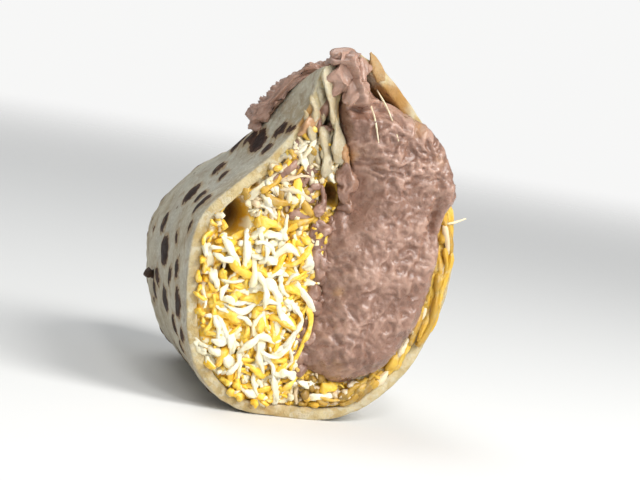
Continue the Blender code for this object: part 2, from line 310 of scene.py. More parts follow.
def length(points):
    return sum(math.dist(a, b) for a, b in zip(points, points[1:]))


def parting(y, aside):
    """The line where beans and cheese meet, from under the tuck down to the bottom."""
    back = ease(y / ROUND_BY)
    line = []
    for (x, z), drop in zip(PARTING, PARTING_DROP):
        px, pz = place(x, z - back * drop, y)
        line.append((px, pz - settle(y) * drop / PARTING_DROP[0]))
    return beside(curve(line, 4).tolist(), lambda k: aside)


def lump(y):
    """How much the beans swell out of the seam: a little at the cut, and a lump further back."""
    front = 0.22 * ease(1.0 - abs(y) / 8.0)
    return front + power(1.0 - ((y - LUMP_AT) / LUMP_REACH) ** 2, 1.1)


def seam_line(y, clear=SEAM_CLEAR):
    """The beans' upper edge: up the tucked sheet, out over the fold, and back to the free edge."""
    swell = lump(y)
    closing = ease((y - 28.5) / 5.0)
    up = sheet_face(y, 1.0, GAP + clear)[WRAP_POINTS - 10:]
    up.reverse()
    tail = length(up[:-9])
    stop = tail * mix(0.77, 0.56, closing) + (0.23 * tail + LUMP_LEFT) * swell
    rise = [along(up, stop * k / 40.0) for k in range(41)]
    path, half = sheet_path(y)
    tip = path[0]
    run = math.dist(tip, path[1])
    out_x, out_z = (tip[0] - path[1][0]) / run, (tip[1] - path[1][1]) / run
    clear_tip = half[0] + GAP
    corner = (tip[0] + 0.5 * out_x - clear_tip * out_z, tip[1] + 0.5 * out_z + clear_tip * out_x)
    beyond = (tip[0] + 0.8 * out_x - 0.3, tip[1] + 0.8 * out_z + 0.3)
    shut = wall(5.0, SHEET + GAP, y)
    middle = (mix(rise[-1][0], shut[0], 0.5), mix(rise[-1][1], shut[1], 0.5))
    corner = (mix(corner[0], shut[0], closing), mix(corner[1], shut[1], closing))
    beyond = (mix(beyond[0], middle[0], closing), mix(beyond[1], middle[1], closing))
    end = rise[-1]
    high = LUMP_HIGH * swell
    wide = (LUMP_LEFT + 6.0) * swell
    crown = [end]
    for share, lift, out in LUMP_SHAPE:
        crown.append((mix(end[0], beyond[0], share) + out * wide,
                      mix(end[1], beyond[1], share) + lift * high))
    return rise, crown + [beyond], corner


def bean_loop(y, spill, hollow=0.0):
    """The outline of the beans at one section; spill is 1 in front of the cut face."""
    lower = parting(y, -BEAN_SWELL)
    lower.reverse()
    rise, crown, corner = seam_line(y, SEAM_CLEAR * 0.15)
    points = (even(lower, 12).tolist() + even(rise, 18).tolist()
              + even(curve(crown, 6), 12)[1:].tolist() + [corner])
    for k in range(1, 25):
        angle = mix(8.0, 171.0, k / 24.0)
        inset = SHEET - BEAN_SWELL + hollow * ease(1.0 - abs(angle - HOLLOW_ANGLE) / HOLLOW_WIDE)
        if angle >= 60.0:
            inset = max(inset, table(angle, PARTING_ANGLE, PARTING_INSET))
        inset = mix(inset, table(angle, SPILL_ANGLE, SPILL_INSET), spill)
        points.append(wall(angle, inset, y))
    return points


def cheese_sides(y):
    """Matching lines along the wall and along the beans, from the top left round to the right."""
    face = sheet_face(y, -1.0, 0.0)
    back = ease(y / ROUND_BY)
    lower_right = wall(76.0, SHEET, y)
    near = min(range(4, 20), key=lambda k: math.dist(face[k], lower_right))
    outer = face[near + 1:WRAP_POINTS - 1]
    outer.reverse()
    outer = outer[int(mix(1.0, 0.0, back) + 0.5):] + [lower_right]
    inner = face[WRAP_POINTS + int(mix(6.5, 4.0, back)):] + parting(y, 0.0)
    for k in range(41):
        angle = mix(169.0, 76.0, k / 40.0)
        inner.append(wall(angle, table(angle, PARTING_ANGLE, PARTING_INSET), y))
    return outer, inner


# ---------------------------------------------------------------- meshes

def at_depth(line, y):
    """A section line as points in space."""
    line = np.asarray(line, float)
    return np.stack([line[:, 0], np.full(len(line), float(y)), line[:, 1]], axis=1)


def wrinkle(points, width, seed, flat=(1.0, 1.0, 1.0)):
    """Smooth bumps from about -1 to 1 at each point; width is the size of a bump in mm."""
    scaled = np.asarray(points, float) / width * np.array(flat)
    shift = Vector((seed * 7.31, seed * 3.17, seed * 5.77))
    return np.array([noise.noise(Vector(p) + shift) for p in scaled.tolist()])


def folds(points, width, seed, flat=(1.0, 1.0, 1.0)):
    """Sharp-crested wrinkles from 0 to 1."""
    return 1.0 - np.clip(np.abs(wrinkle(points, width, seed, flat)) * 2.6, 0.0, 1.0)


def face_out(grid):
    """Unit normals of a grid of points."""
    across = np.gradient(grid, axis=1)
    down = np.gradient(grid, axis=0)
    out = np.cross(across, down)
    return out / np.maximum(np.linalg.norm(out, axis=2, keepdims=True), 1e-9)


def grid_faces(rows, columns, closed_rows=False, closed_columns=False):
    """Quads of a grid of points stored row by row."""
    index = np.arange(rows * columns).reshape(rows, columns)
    if closed_rows:
        index = np.concatenate([index, index[:1]])
    if closed_columns:
        index = np.concatenate([index, index[:, :1]], axis=1)
    quads = np.stack([index[:-1, :-1], index[:-1, 1:], index[1:, 1:], index[1:, :-1]], axis=-1)
    return quads.reshape(-1, 4).tolist()


def room_inside(points, region):
    """How far inside a closed outline each point is, in mm; outside it is negative."""
    a = region
    run = np.roll(region, -1, axis=0) - a
    size = np.maximum((run ** 2).sum(axis=1), 1e-9)
    level = np.where(np.abs(run[:, 1]) < 1e-9, 1e-9, run[:, 1])
    rooms = []
    for some in np.array_split(points, len(points) // 2000 + 1):
        p = some[:, None, :]
        share = np.clip(((p - a) * run).sum(axis=2) / size, 0, 1)
        gone = np.linalg.norm(p - a - share[:, :, None] * run, axis=2).min(axis=1)
        above = a[:, 1] > p[:, :, 1]
        crosses = (above != np.roll(above, -1, axis=1)) & (
            p[:, :, 0] < a[:, 0] + (p[:, :, 1] - a[:, 1]) * run[:, 0] / level)
        rooms.append(np.where(crosses.sum(axis=1) % 2 == 1, gone, -gone))
    return np.concatenate(rooms)


def filled_tube(rings, step, seed):
    """Rings from front to back, with a finely divided face over the first and a plain one behind.

    Gives all points, the faces, where the face's own points start, and how far inside the
    first ring each of those is.
    """
    chance = random.Random(seed)
    grid = np.array(rings)
    rows, columns = grid.shape[:2]
    loop = grid[0][:, (0, 2)]
    low, high = loop.min(axis=0), loop.max(axis=0)
    spots = []
    for j in range(int((high[1] - low[1]) / (step * 0.87)) + 1):
        for i in range(int((high[0] - low[0]) / step) + 1):
            spots.append((low[0] + (i + 0.5 * (j % 2) + chance.uniform(-0.2, 0.2)) * step,
                          low[1] + (0.87 * j + chance.uniform(-0.2, 0.2)) * step))
    spots = np.array(spots)
    room = room_inside(spots, even(np.concatenate([loop, loop[:1]]), 220)[:-1])
    spots, room = spots[room > 0.4 * step], room[room > 0.4 * step]
    flat = np.concatenate([loop, spots])
    found = delaunay_2d_cdt([Vector(p) for p in flat.tolist()], [],
                            [list(range(columns))], 1, 1e-5)
    start = rows * columns
    number = [(old[0] if old[0] < columns else start + old[0] - columns) if old else -1
              for old in found[3]]
    faces = grid_faces(rows, columns, closed_columns=True)
    faces += [tuple(number[k] for k in face) for face in found[2]
              if min(number[k] for k in face) >= 0]
    faces.append(tuple(range((rows - 1) * columns, rows * columns)))
    front = np.stack([spots[:, 0], np.full(len(spots), grid[0, 0, 1]), spots[:, 1]], axis=1)
    return np.concatenate([grid.reshape(-1, 3), front]), faces, start, room


def swirls(points, width, seed, flat=(1.0, 1.0, 1.0)):
    """Rounded ridges that wander, from 0 to 1."""
    bend = np.stack([wrinkle(points, 2.6 * width, seed + k) for k in range(3)], axis=1)
    value = np.abs(wrinkle(points + 1.1 * width * bend, width, seed + 3, flat))
    return 1.0 - np.clip(value * 2.5, 0.0, 1.0) ** 1.5


def add_piece(name, points, faces, finish, replaces=(), values=None):
    """One piece of the object, closed and smooth, with its values stored at its points."""
    data = bpy.data.meshes.new(name)
    row = np.asarray(points, float) * MM + ORIGIN
    data.from_pydata(row.tolist(), [], faces)
    body = bmesh.new()
    body.from_mesh(data)
    bmesh.ops.recalc_face_normals(body, faces=body.faces[:])
    body.to_mesh(data)
    body.free()
    for key, amounts in (values or {}).items():
        stored = data.attributes.new(key, "FLOAT", "POINT")
        stored.data.foreach_set("value", np.asarray(amounts, np.float32))
    data.shade_smooth()
    data.materials.append(finish)
    made = bpy.data.objects.new(name, data)
    bpy.context.scene.collection.objects.link(made)
    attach(made, "root")
    if replaces:
        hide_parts(*replaces)
    return made


# ---------------------------------------------------------------- node helpers

def place_node(tree, kind, settings=None, **inputs):
    """A node with its settings and inputs; an input may be a number, a colour or a socket."""
    made = tree.nodes.new(kind)
    for key, value in (settings or {}).items():
        setattr(made, key, value)
    for key, value in inputs.items():
        socket = made.inputs[int(key[1:])] if key[0] == "n" and key[1:].isdigit() else None
        if socket is None:
            socket = made.inputs[key.replace("_", " ")]
        if isinstance(value, bpy.types.NodeSocket):
            tree.links.new(value, socket)
        else:
            socket.default_value = value
    return made


def noise_mask(tree, scale, detail=3.0, rough=0.55, stretch=(1.0, 1.0, 1.0), bend=0.0):
    """A noise value in object space; scale counts bumps a metre."""
    where = tree.nodes.new("ShaderNodeTexCoord").outputs["Object"]
    spread = place_node(tree, "ShaderNodeMapping", Vector=where, Scale=stretch)
    made = place_node(tree, "ShaderNodeTexNoise", Vector=spread.outputs["Vector"], Scale=scale,
                      Detail=detail, Roughness=rough, Distortion=bend)
    return made.outputs["Factor"] if "Factor" in made.outputs else made.outputs["Fac"]


def soft_step(tree, value, low, high, top=1.0):
    """0 below low, `top` above high, smooth between."""
    made = place_node(tree, "ShaderNodeMapRange", {"interpolation_type": "SMOOTHSTEP"},
                      Value=value, From_Min=low, From_Max=high, To_Max=top)
    return made.outputs["Result"]


def maths(tree, kind, a, b=0.0):
    return place_node(tree, "ShaderNodeMath", {"operation": kind}, n0=a, n1=b).outputs[0]


def blend_colour(tree, share, low, high, kind="MIX"):
    """A mix of two colours; share may be a socket."""
    made = place_node(tree, "ShaderNodeMix", {"data_type": "RGBA", "blend_type": kind},
                      n0=share, n6=low, n7=high)
    return made.outputs[2]


def stored(tree, key):
    """A value kept at the points of the mesh."""
    return place_node(tree, "ShaderNodeAttribute", {"attribute_name": key}).outputs["Fac"]


def new_finish(name):
    """An empty material with its shader."""
    made = bpy.data.materials.new(name)
    made.use_nodes = True
    tree = made.node_tree
    return made, tree, tree.nodes["Principled BSDF"]


def colour(red, green, blue):
    return (red, green, blue, 1.0)


def new_group(name, inputs, outputs):
    """An empty node group with its sockets; inputs are (name, type, value)."""
    tree = bpy.data.node_groups.new(name, "ShaderNodeTree")
    for key, kind, value in inputs:
        socket = tree.interface.new_socket(name=key, in_out="INPUT", socket_type=kind)
        socket.default_value = value
    for key, kind in outputs:
        tree.interface.new_socket(name=key, in_out="OUTPUT", socket_type=kind)
    return tree, tree.nodes.new("NodeGroupInput"), tree.nodes.new("NodeGroupOutput")


def mottle_group():
    """Uneven colour: two tones in soft patches, with finer flecks of the second."""
    tree, given, out = new_group(
        "mottle",
        [("Pale", "NodeSocketColor", colour(0.8, 0.8, 0.8)),
         ("Deep", "NodeSocketColor", colour(0.4, 0.4, 0.4)),
         ("Patches", "NodeSocketFloat", 90.0), ("Flecks", "NodeSocketFloat", 600.0),
         ("Fleck Share", "NodeSocketFloat", 0.35)],
        [("Color", "NodeSocketColor"), ("Mask", "NodeSocketFloat")])
    where = tree.nodes.new("ShaderNodeTexCoord").outputs["Object"]
    patch = place_node(tree, "ShaderNodeTexNoise", Vector=where, Scale=given.outputs["Patches"],
                       Detail=4.0, Roughness=0.6, Distortion=0.4)
    fleck = place_node(tree, "ShaderNodeTexNoise", Vector=where, Scale=given.outputs["Flecks"],
                       Detail=3.0, Roughness=0.6)
    soft = soft_step(tree, patch.outputs[0], 0.36, 0.66)
    fine = soft_step(tree, fleck.outputs[0], 0.52, 0.70)
    share = maths(tree, "MULTIPLY", fine, given.outputs["Fleck Share"])
    mask = maths(tree, "MAXIMUM", soft, share)
    tone = blend_colour(tree, mask, given.outputs["Pale"], given.outputs["Deep"])
    tree.links.new(tone, out.inputs["Color"])
    tree.links.new(mask, out.inputs["Mask"])
    return tree


def grain_group():
    """Height of a fine rough grain over broader lumps."""
    tree, given, out = new_group(
        "grain",
        [("Lumps", "NodeSocketFloat", 400.0), ("Grain", "NodeSocketFloat", 1800.0),
         ("Grain Share", "NodeSocketFloat", 0.4)],
        [("Height", "NodeSocketFloat")])
    where = tree.nodes.new("ShaderNodeTexCoord").outputs["Object"]
    broad = place_node(tree, "ShaderNodeTexNoise", Vector=where, Scale=given.outputs["Lumps"],
                       Detail=3.0, Roughness=0.55)
    fine = place_node(tree, "ShaderNodeTexNoise", Vector=where, Scale=given.outputs["Grain"],
                      Detail=2.0, Roughness=0.6)
    share = maths(tree, "MULTIPLY", fine.outputs[0], given.outputs["Grain Share"])
    height = maths(tree, "ADD", broad.outputs[0], share)
    tree.links.new(height, out.inputs["Height"])
    return tree


MOTTLE = mottle_group()
GRAIN = grain_group()


def mottled(tree, pale, deep, patches, flecks, fleck_share=0.35):
    made = place_node(tree, "ShaderNodeGroup", {"node_tree": MOTTLE}, Pale=colour(*pale),
                      Deep=colour(*deep), Patches=patches, Flecks=flecks,
                      Fleck_Share=fleck_share)
    return made.outputs["Color"]


def relief(tree, shader, lumps, grain, share, strength, reach):
    """Fine surface relief on the shader; reach is its depth in metres."""
    height = place_node(tree, "ShaderNodeGroup", {"node_tree": GRAIN}, Lumps=lumps, Grain=grain,
                        Grain_Share=share).outputs["Height"]
    bump = place_node(tree, "ShaderNodeBump", Strength=strength, Distance=reach, Height=height)
    tree.links.new(bump.outputs["Normal"], shader.inputs["Normal"])
    return bump


# ---------------------------------------------------------------- finishes

def tortilla_finish():
    """Griddled wheat tortilla: grey cream and tan, with crisp dark brown toasted spots."""
    made, tree, shader = new_finish("griddled_tortilla")
    base = mottled(tree, (0.60, 0.55, 0.42), (0.44, 0.37, 0.25), 95.0, 700.0, 0.5)
    veil = soft_step(tree, noise_mask(tree, 38.0, 2.0), 0.42, 0.66, 0.6)
    base = blend_colour(tree, veil, base, colour(0.52, 0.51, 0.44))
    dusty = soft_step(tree, noise_mask(tree, 900.0, 3.0, 0.7), 0.50, 0.64, 0.5)
    base = blend_colour(tree, dusty, base, colour(0.74, 0.72, 0.62))
    tanned = soft_step(tree, noise_mask(tree, 210.0, 4.0, 0.65, bend=0.8), 0.50, 0.68, 0.6)
    base = blend_colour(tree, tanned, base, colour(0.35, 0.25, 0.15))
    cut = stored(tree, "cut")
    crumb = mottled(tree, (0.60, 0.505, 0.30), (0.46, 0.34, 0.15), 220.0, 1500.0, 0.5)
    pith = soft_step(tree, noise_mask(tree, 520.0, 3.0), 0.48, 0.62, 0.6)
    crumb = blend_colour(tree, pith, crumb, colour(0.62, 0.58, 0.44))
    base = blend_colour(tree, cut, base, crumb)
    stain = soft_step(tree, maths(tree, "ADD", stored(tree, "stain"),
                                  maths(tree, "MULTIPLY", noise_mask(tree, 420.0), 0.5)),
                      0.45, 1.15, 0.9)
    base = blend_colour(tree, stain, base, colour(0.42, 0.22, 0.06))
    ragged = maths(tree, "MULTIPLY", maths(tree, "SUBTRACT", noise_mask(tree, 700.0, 3.0), 0.5), 2.6)
    toast = maths(tree, "ADD", stored(tree, "toast"), ragged)
    halo = soft_step(tree, toast, -1.3, 0.15, 0.75)
    base = blend_colour(tree, halo, base, colour(0.40, 0.26, 0.12))
    brown = soft_step(tree, toast, -0.15, 0.2)
    base = blend_colour(tree, brown, base, colour(0.075, 0.035, 0.021))
    black = soft_step(tree, toast, 0.45, 1.1, 0.8)
    base = blend_colour(tree, black, base, colour(0.022, 0.013, 0.010))
    pale = soft_step(tree, stored(tree, "blister"), 0.45, 0.85, 0.7)
    base = blend_colour(tree, pale, base, colour(0.22, 0.12, 0.06))
    speck = place_node(tree, "ShaderNodeTexVoronoi", Scale=260.0,
                       Vector=tree.nodes.new("ShaderNodeTexCoord").outputs["Object"])
    rare = maths(tree, "GREATER_THAN",
                 place_node(tree, "ShaderNodeSeparateColor",
                            Color=speck.outputs["Color"]).outputs[0], 0.80)
    dot = maths(tree, "MULTIPLY", rare, maths(tree, "SUBTRACT", 1.0, soft_step(
        tree, speck.outputs["Distance"], 0.10, 0.20)))
    dot = maths(tree, "MULTIPLY", dot, maths(tree, "SUBTRACT", 1.0, cut))
    base = blend_colour(tree, maths(tree, "MULTIPLY", dot, 0.8), base, colour(0.14, 0.075, 0.04))
    tree.links.new(base, shader.inputs["Base Color"])
    rough = soft_step(tree, noise_mask(tree, 300.0), 0.3, 0.7, 0.25)
    tree.links.new(maths(tree, "ADD", rough, 0.58), shader.inputs["Roughness"])
    shader.inputs["Specular IOR Level"].default_value = 0.25
    shader.inputs["Subsurface Weight"].default_value = 0.12
    shader.inputs["Subsurface Radius"].default_value = (1.0, 0.6, 0.3)
    shader.inputs["Subsurface Scale"].default_value = 0.002
    relief(tree, shader, 800.0, 2600.0, 0.5, 0.7, 0.0006)
    return made


def bean_finish():
    """Refried beans: mauve-brown paste, wet and smeared, with orange oil in places, and a painted
    highlight on its crests.
    """
    made, tree, shader = new_finish("refried_bean_paste")
    base = mottled(tree, (0.29, 0.158, 0.110), (0.22, 0.113, 0.076), 160.0, 900.0, 0.45)
    # painted highlight: the crests of the relief, and the parts lightened against their shade, turn pale
    # pink-brown
    crest_and_highlight = soft_step(tree, maths(tree, "ADD", stored(tree, "crest_and_highlight"), maths(
        tree, "MULTIPLY", noise_mask(tree, 700.0, 3.0), 0.7)), 0.55, 1.6, 0.85)
    base = blend_colour(tree, crest_and_highlight, base, colour(0.49, 0.305, 0.23))
    oil = soft_step(tree, maths(tree, "ADD", stored(tree, "oil"),
                                maths(tree, "MULTIPLY", noise_mask(tree, 260.0), 0.8)), 0.55, 1.3)
    base = blend_colour(tree, oil, base, colour(0.47, 0.26, 0.12))
    hull = soft_step(tree, noise_mask(tree, 520.0, 2.0), 0.70, 0.76, 0.7)
    base = blend_colour(tree, hull, base, colour(0.22, 0.10, 0.065))
    tree.links.new(base, shader.inputs["Base Color"])
    wet = soft_step(tree, noise_mask(tree, 500.0, 3.0), 0.35, 0.65, 0.3)
    tree.links.new(maths(tree, "ADD", wet, 0.20), shader.inputs["Roughness"])
    shader.inputs["Coat Weight"].default_value = 0.4
    shader.inputs["Coat Roughness"].default_value = 0.2
    shader.inputs["Subsurface Weight"].default_value = 0.1
    shader.inputs["Subsurface Radius"].default_value = (1.0, 0.5, 0.3)
    shader.inputs["Subsurface Scale"].default_value = 0.0015
    relief(tree, shader, 900.0, 2000.0, 0.35, 0.6, 0.0006)
    return made


def cheese_finish(name, pale, deep, shadow):
    """Shredded cheese: each shred a little different, with painted shade (the shadow colour) where it
    lies deep in the heap.
    """
    made, tree, shader = new_finish(name)
    base = mottled(tree, pale, deep, 420.0, 1500.0, 0.3)
    own = stored(tree, "shade")
    base = blend_colour(tree, maths(tree, "MULTIPLY", own, 0.75), base, colour(*deep))
    base = blend_colour(tree, stored(tree, "white"), base, colour(0.90, 0.83, 0.60))
    milky = soft_step(tree, noise_mask(tree, 650.0, 2.0), 0.50, 0.72, 0.4)
    base = blend_colour(tree, milky, base, colour(0.97, 0.87, 0.56))
    # painted shade: the deep value mixes in the shadow colour
    base = blend_colour(tree, stored(tree, "deep"), base, colour(*shadow))
    tree.links.new(base, shader.inputs["Base Color"])
    shader.inputs["Roughness"].default_value = 0.38
    shader.inputs["Subsurface Weight"].default_value = 0.3
    shader.inputs["Subsurface Radius"].default_value = (1.0, 0.9, 0.7)
    shader.inputs["Subsurface Scale"].default_value = 0.0009
    relief(tree, shader, 1100.0, 2600.0, 0.4, 0.5, 0.0004)
    return made


# ---------------------------------------------------------------- the tortilla

SHEET_ROWS = [0.3, 0.8, 1.5, 2.3, 3.2, 4.2] + np.arange(5.2, 77.2, 1.0).tolist()
RIM = ((0.03, 0.08), (0.14, -0.05), (0.32, -0.12), (0.5, -0.15), (0.68, -0.12), (0.86, -0.05),
       (0.97, 0.08))     # share of the thickness, and how far the cut edge stands out there
SIDE_SPOTS = ((-22, 15, 1.4), (-37, 21, 1.7), (-46, 27, 2.3), (-56, 14, 2.5), (-34, 4, 1.0),
              (-41, 9, 1.9), (-24, 4, 0.8), (-29, 10, 1.3), (-71, 28, 2.6), (-68, 17, 1.4),
              (-81, 8, 2.5), (-93, 29, 2.9), (-111, 41, 2.2), (-111, 27, 2.9), (-117, 16, 2.2),
              (-107, 8, 2.2), (-87, 5, 1.2), (-125, 11, 1.6), (-118, 6, 1.4), (-37, 2, 0.9),
              (-50, 20, 1.5), (-61, 6, 1.5), (-62, 24, 1.7), (-76, 18, 1.8), (-97, 12, 2.0),
              (-101, 20, 1.8), (-90, 18, 1.2), (-46, 4, 1.0), (-104, 35, 1.9), (-82, 36, 2.2))
SPOT_COUNT = 130
SPOT_APART = 2.4
NUB_ANGLE = -105.0
NUB_DEPTH = 42.0


def toasted_places(skin):
    """Centres, sizes and stretch of the toasted spots: the left side's listed, others strewn."""
    chance = random.Random(11)
    places = []
    for angle, depth, size in SIDE_SPOTS:
        x, z = outline(angle, depth)
        near = skin[np.argmin(np.linalg.norm(skin - np.array((x, depth, z)), axis=1))]
        places.append((near, 1.15 * size))
    for turn in range(9000):
        if len(places) >= SPOT_COUNT:
            break
        centre = skin[chance.randrange(len(skin))]
        size = 0.7 + 2.1 * chance.random() ** 1.6
        if centre[0] < -9.0 and centre[1] < 44.0 and centre[2] > 10.0:
            continue
        if all(np.linalg.norm(centre - other) > size + taken + SPOT_APART
               for other, taken in places):
            places.append((centre, size))
    marked = []
    for centre, size in places:
        lean = np.array([chance.gauss(0, 1) for i in range(3)])
        marked.append((centre, size, lean / np.linalg.norm(lean), chance.uniform(1.0, 1.7),
                       size > 1.5 and chance.random() < 0.4))
    return marked


def toast_values(points, places):
    """How far inside a toasted spot each point is, in mm, and how far up a pale blister."""
    toast = np.full(len(points), -6.0)
    blister = np.zeros(len(points))
    dome = np.zeros(len(points))
    for centre, size, lean, stretch, puffed in places:
        apart = points - centre
        reach = np.sqrt(np.maximum(0.0, (apart ** 2).sum(axis=1)
                                   - (1 - 1 / stretch ** 2) * (apart @ lean) ** 2))
        toast = np.maximum(toast, size - reach)
        top = np.clip(1.0 - (reach / (size * 1.25)) ** 2, 0.0, 1.0)
        dome = np.maximum(dome, top * (0.62 if puffed else 0.3) * min(1.0, size / 2.0))
        if puffed:
            blister = np.maximum(blister, np.exp(-(reach / (0.5 * size)) ** 2))
    return toast, blister, dome


def tortilla_wrap(finish):
    """The rolled sheet: its outside, the cut edge and its inside, in one thick skin."""
    outer, inner = [], []
    for y in SHEET_ROWS:
        path, half = sheet_path(y)
        outer.append(at_depth(curve(beside(path, lambda k: half[k]), FINE), y))
        inner.append(at_depth(curve(beside(path, lambda k: -half[k]), FINE), y))
    path, half = sheet_path(0.0)
    out_edge = curve(beside(path, lambda k: half[k]), FINE)
    in_edge = curve(beside(path, lambda k: -half[k]), FINE)
    rim = [at_depth(mix(out_edge, in_edge, share), drop) for share, drop in RIM]
    grid = np.array(outer[::-1] + rim + inner)
    rows, columns = grid.shape[:2]
    first_rim, after_rim = len(outer), len(outer) + len(rim)
    outside = np.zeros((rows, columns))
    outside[:first_rim] = 1.0
    outside[first_rim] = 0.8
    cut = np.zeros((rows, columns))
    cut[first_rim:after_rim] = 1.0
    cut[first_rim] = 0.5

    normal = face_out(grid)
    centre = np.array((CENTRE_X, 0.0, CENTRE_Z))
    middle = first_rim // 2
    side = np.sum(normal[middle, columns // 2] * (grid[middle, columns // 2] - centre))
    normal *= 1.0 if side > 0 else -1.0
    flat = grid.reshape(-1, 3)
    ring_share = np.arange(columns) / (columns - 1)
    on_wrap = (1.0 - eased(ring_share, 0.66, 0.74))[None, :] * outside
    skin = grid[:first_rim, :int(columns * 0.68)].reshape(-1, 3)
    places = toasted_places(skin)
    toast, blister, dome = (v.reshape(rows, columns) for v in toast_values(flat, places))
    toast = np.where(on_wrap > 0.1, toast, -6.0)
    blister = blister * on_wrap

    wave = (0.42 * wrinkle(flat, 12.0, 1) + 0.26 * wrinkle(flat, 5.0, 2)
            + 0.13 * wrinkle(flat, 2.4, 3)).reshape(rows, columns)
    pull = (folds(flat, 6.0, 4, (1.0, 0.22, 1.0)) ** 2).reshape(rows, columns)
    pull *= eased(grid[:, :, 1], 48.0, 76.0) * 0.55 + 0.10
    push = on_wrap * (wave + dome - pull) + (1.0 - on_wrap) * 0.35 * wave
    grid = grid + normal * push[:, :, None]

    edge = (0.28 * wrinkle(flat, 3.2, 5) + 0.16 * wrinkle(flat, 1.2, 6)).reshape(rows, columns)
    near_cut = 1.0 - eased(grid[:, :, 1], 0.0, 5.0)
    grid[:, :, 1] += edge * near_cut
    grid[:, :, 2] = np.maximum(grid[:, :, 2], 0.0)

    stain = np.zeros((rows, columns))
    for x, z, reach, amount in STAINS:
        gone = np.hypot(grid[:, :, 0] - x, grid[:, :, 2] - z) / reach
        stain = np.maximum(stain, amount * np.exp(-gone ** 2) * (grid[:, :, 1] < 14.0))
    stain[:first_rim] *= 1.0 - on_wrap[:first_rim]

    faces = grid_faces(rows, columns, closed_rows=True)
    for column in (0, columns - 1):
        for row in range(len(outer) - 1):
            a, b = row, row + 1
            c, d = rows - 2 - row, rows - 1 - row
            faces.append((a * columns + column, b * columns + column,
                          c * columns + column, d * columns + column))
        ends = [r * columns + column for r in range(first_rim - 1, after_rim + 1)]
        faces.append(tuple(ends))
    return add_piece("tortilla_wrap", grid.reshape(-1, 3), faces, finish, ["tortilla"],
                     {"toast": toast.ravel(), "blister": blister.ravel(), "cut": cut.ravel(),
                      "stain": stain.ravel()}), places


# x, z, reach, amount of orange-brown stain on the cut edge and inside; the last two rows only make the
# bottom of the cut edge darker and browner
STAINS = ((9.0, 73.0, 5.0, 1.5), (-9.0, 67.0, 3.5, 1.3), (-3.5, 70.0, 2.0, 0.9),
          (-3.0, 62.0, 2.5, 0.9), (4.0, 82.0, 1.8, 1.2), (27.5, 42.0, 4.0, 0.5),
          (-6.0, 1.0, 12.0, 0.45), (14.0, 6.0, 8.0, 0.35))


def end_cap(finish, places):
    """The folded-in end: a soft dome with creases drawn to its middle and one lapped edge."""
    count = 240
    rings = []
    for y in (70.0, 72.0, 73.5, 74.6):
        rings.append((y, 1.0, 1.2))
    for k in range(34):
        turn = math.radians(88.5 * k / 33.0)
        rings.append((75.0 + 7.0 * math.sin(turn), math.cos(turn), 0.25))
    points = []
    for y, shrink, inset in rings:
        for k in range(count):
            angle = 360.0 * k / count
            turn = angle if angle <= 180.0 else angle - 360.0
            dip = under_flap(turn, y) * ease((6.0 - turn) / 8.0) if turn > -90.0 else 0.0
            x, z = wall(angle, inset + dip, min(y, END_OF_SHEET))
            points.append((CENTRE_X + (x - CENTRE_X) * shrink, y,
                           CENTRE_Z + (z - CENTRE_Z) * shrink))
    grid = np.array(points).reshape(len(rings), count, 3)
    normal = face_out(grid)
    if normal[len(rings) // 2, 0, 1] < 0:
        normal = -normal
    flat = grid.reshape(-1, 3)
    inward = (1.0 - np.array([shrink for y, shrink, inset in rings]))[:, None]
    angles = (np.arange(count) * 360.0 / count)[None, :] + 30.0 * inward
    crease = np.zeros(grid.shape[:2])
    for k, at in enumerate(END_CREASES):
        away = np.abs((angles + 14.0 * math.sin(2.0 * k) * inward - at + 180.0) % 360.0 - 180.0)
        reach = eased(inward, 0.04, 0.3) * (1.0 - 0.85 * eased(inward, 0.45 + 0.1 * (k % 3), 0.95))
        crease = np.maximum(crease, (0.5 + 0.5 * (k * 0.38 % 1.0)) * reach
                            * np.exp(-(away / (9.0 + 5.0 * (k % 2) + 8.0 * inward)) ** 2))
    side = ((grid[:, :, 0] - 3.0) * 0.55 + (grid[:, :, 2] - CENTRE_Z) * 0.83
            + 1.4 * wrinkle(flat, 9.0, 21).reshape(grid.shape[:2]))
    lap = eased(side, -0.4, 0.5) * eased(inward, 0.02, 0.3)
    push = (-2.2 * crease + 1.3 * lap
            + (0.45 * wrinkle(flat, 7.0, 22) + 0.22 * wrinkle(flat, 3.0, 23)).reshape(crease.shape))
    toast, blister, dome = (v.reshape(crease.shape) for v in toast_values(flat, places))
    push = push + dome * 0.6
    grid = grid + normal * (push * eased(inward + 0.02, 0.0, 0.12))[:, :, None]
    grid[:, :, 2] = np.maximum(grid[:, :, 2], 0.0)
    faces = grid_faces(len(rings), count, closed_columns=True)
    faces.append(tuple(range(count)))
    faces.append(tuple(range((len(rings) - 1) * count, len(rings) * count)))
    nothing = np.zeros(len(flat))
    return add_piece("tortilla_end", grid.reshape(-1, 3), faces, finish, ["tortilla"],
                     {"toast": toast.ravel(), "blister": blister.ravel(), "cut": nothing,
                      "stain": nothing})


# ---------------------------------------------------------------- the beans

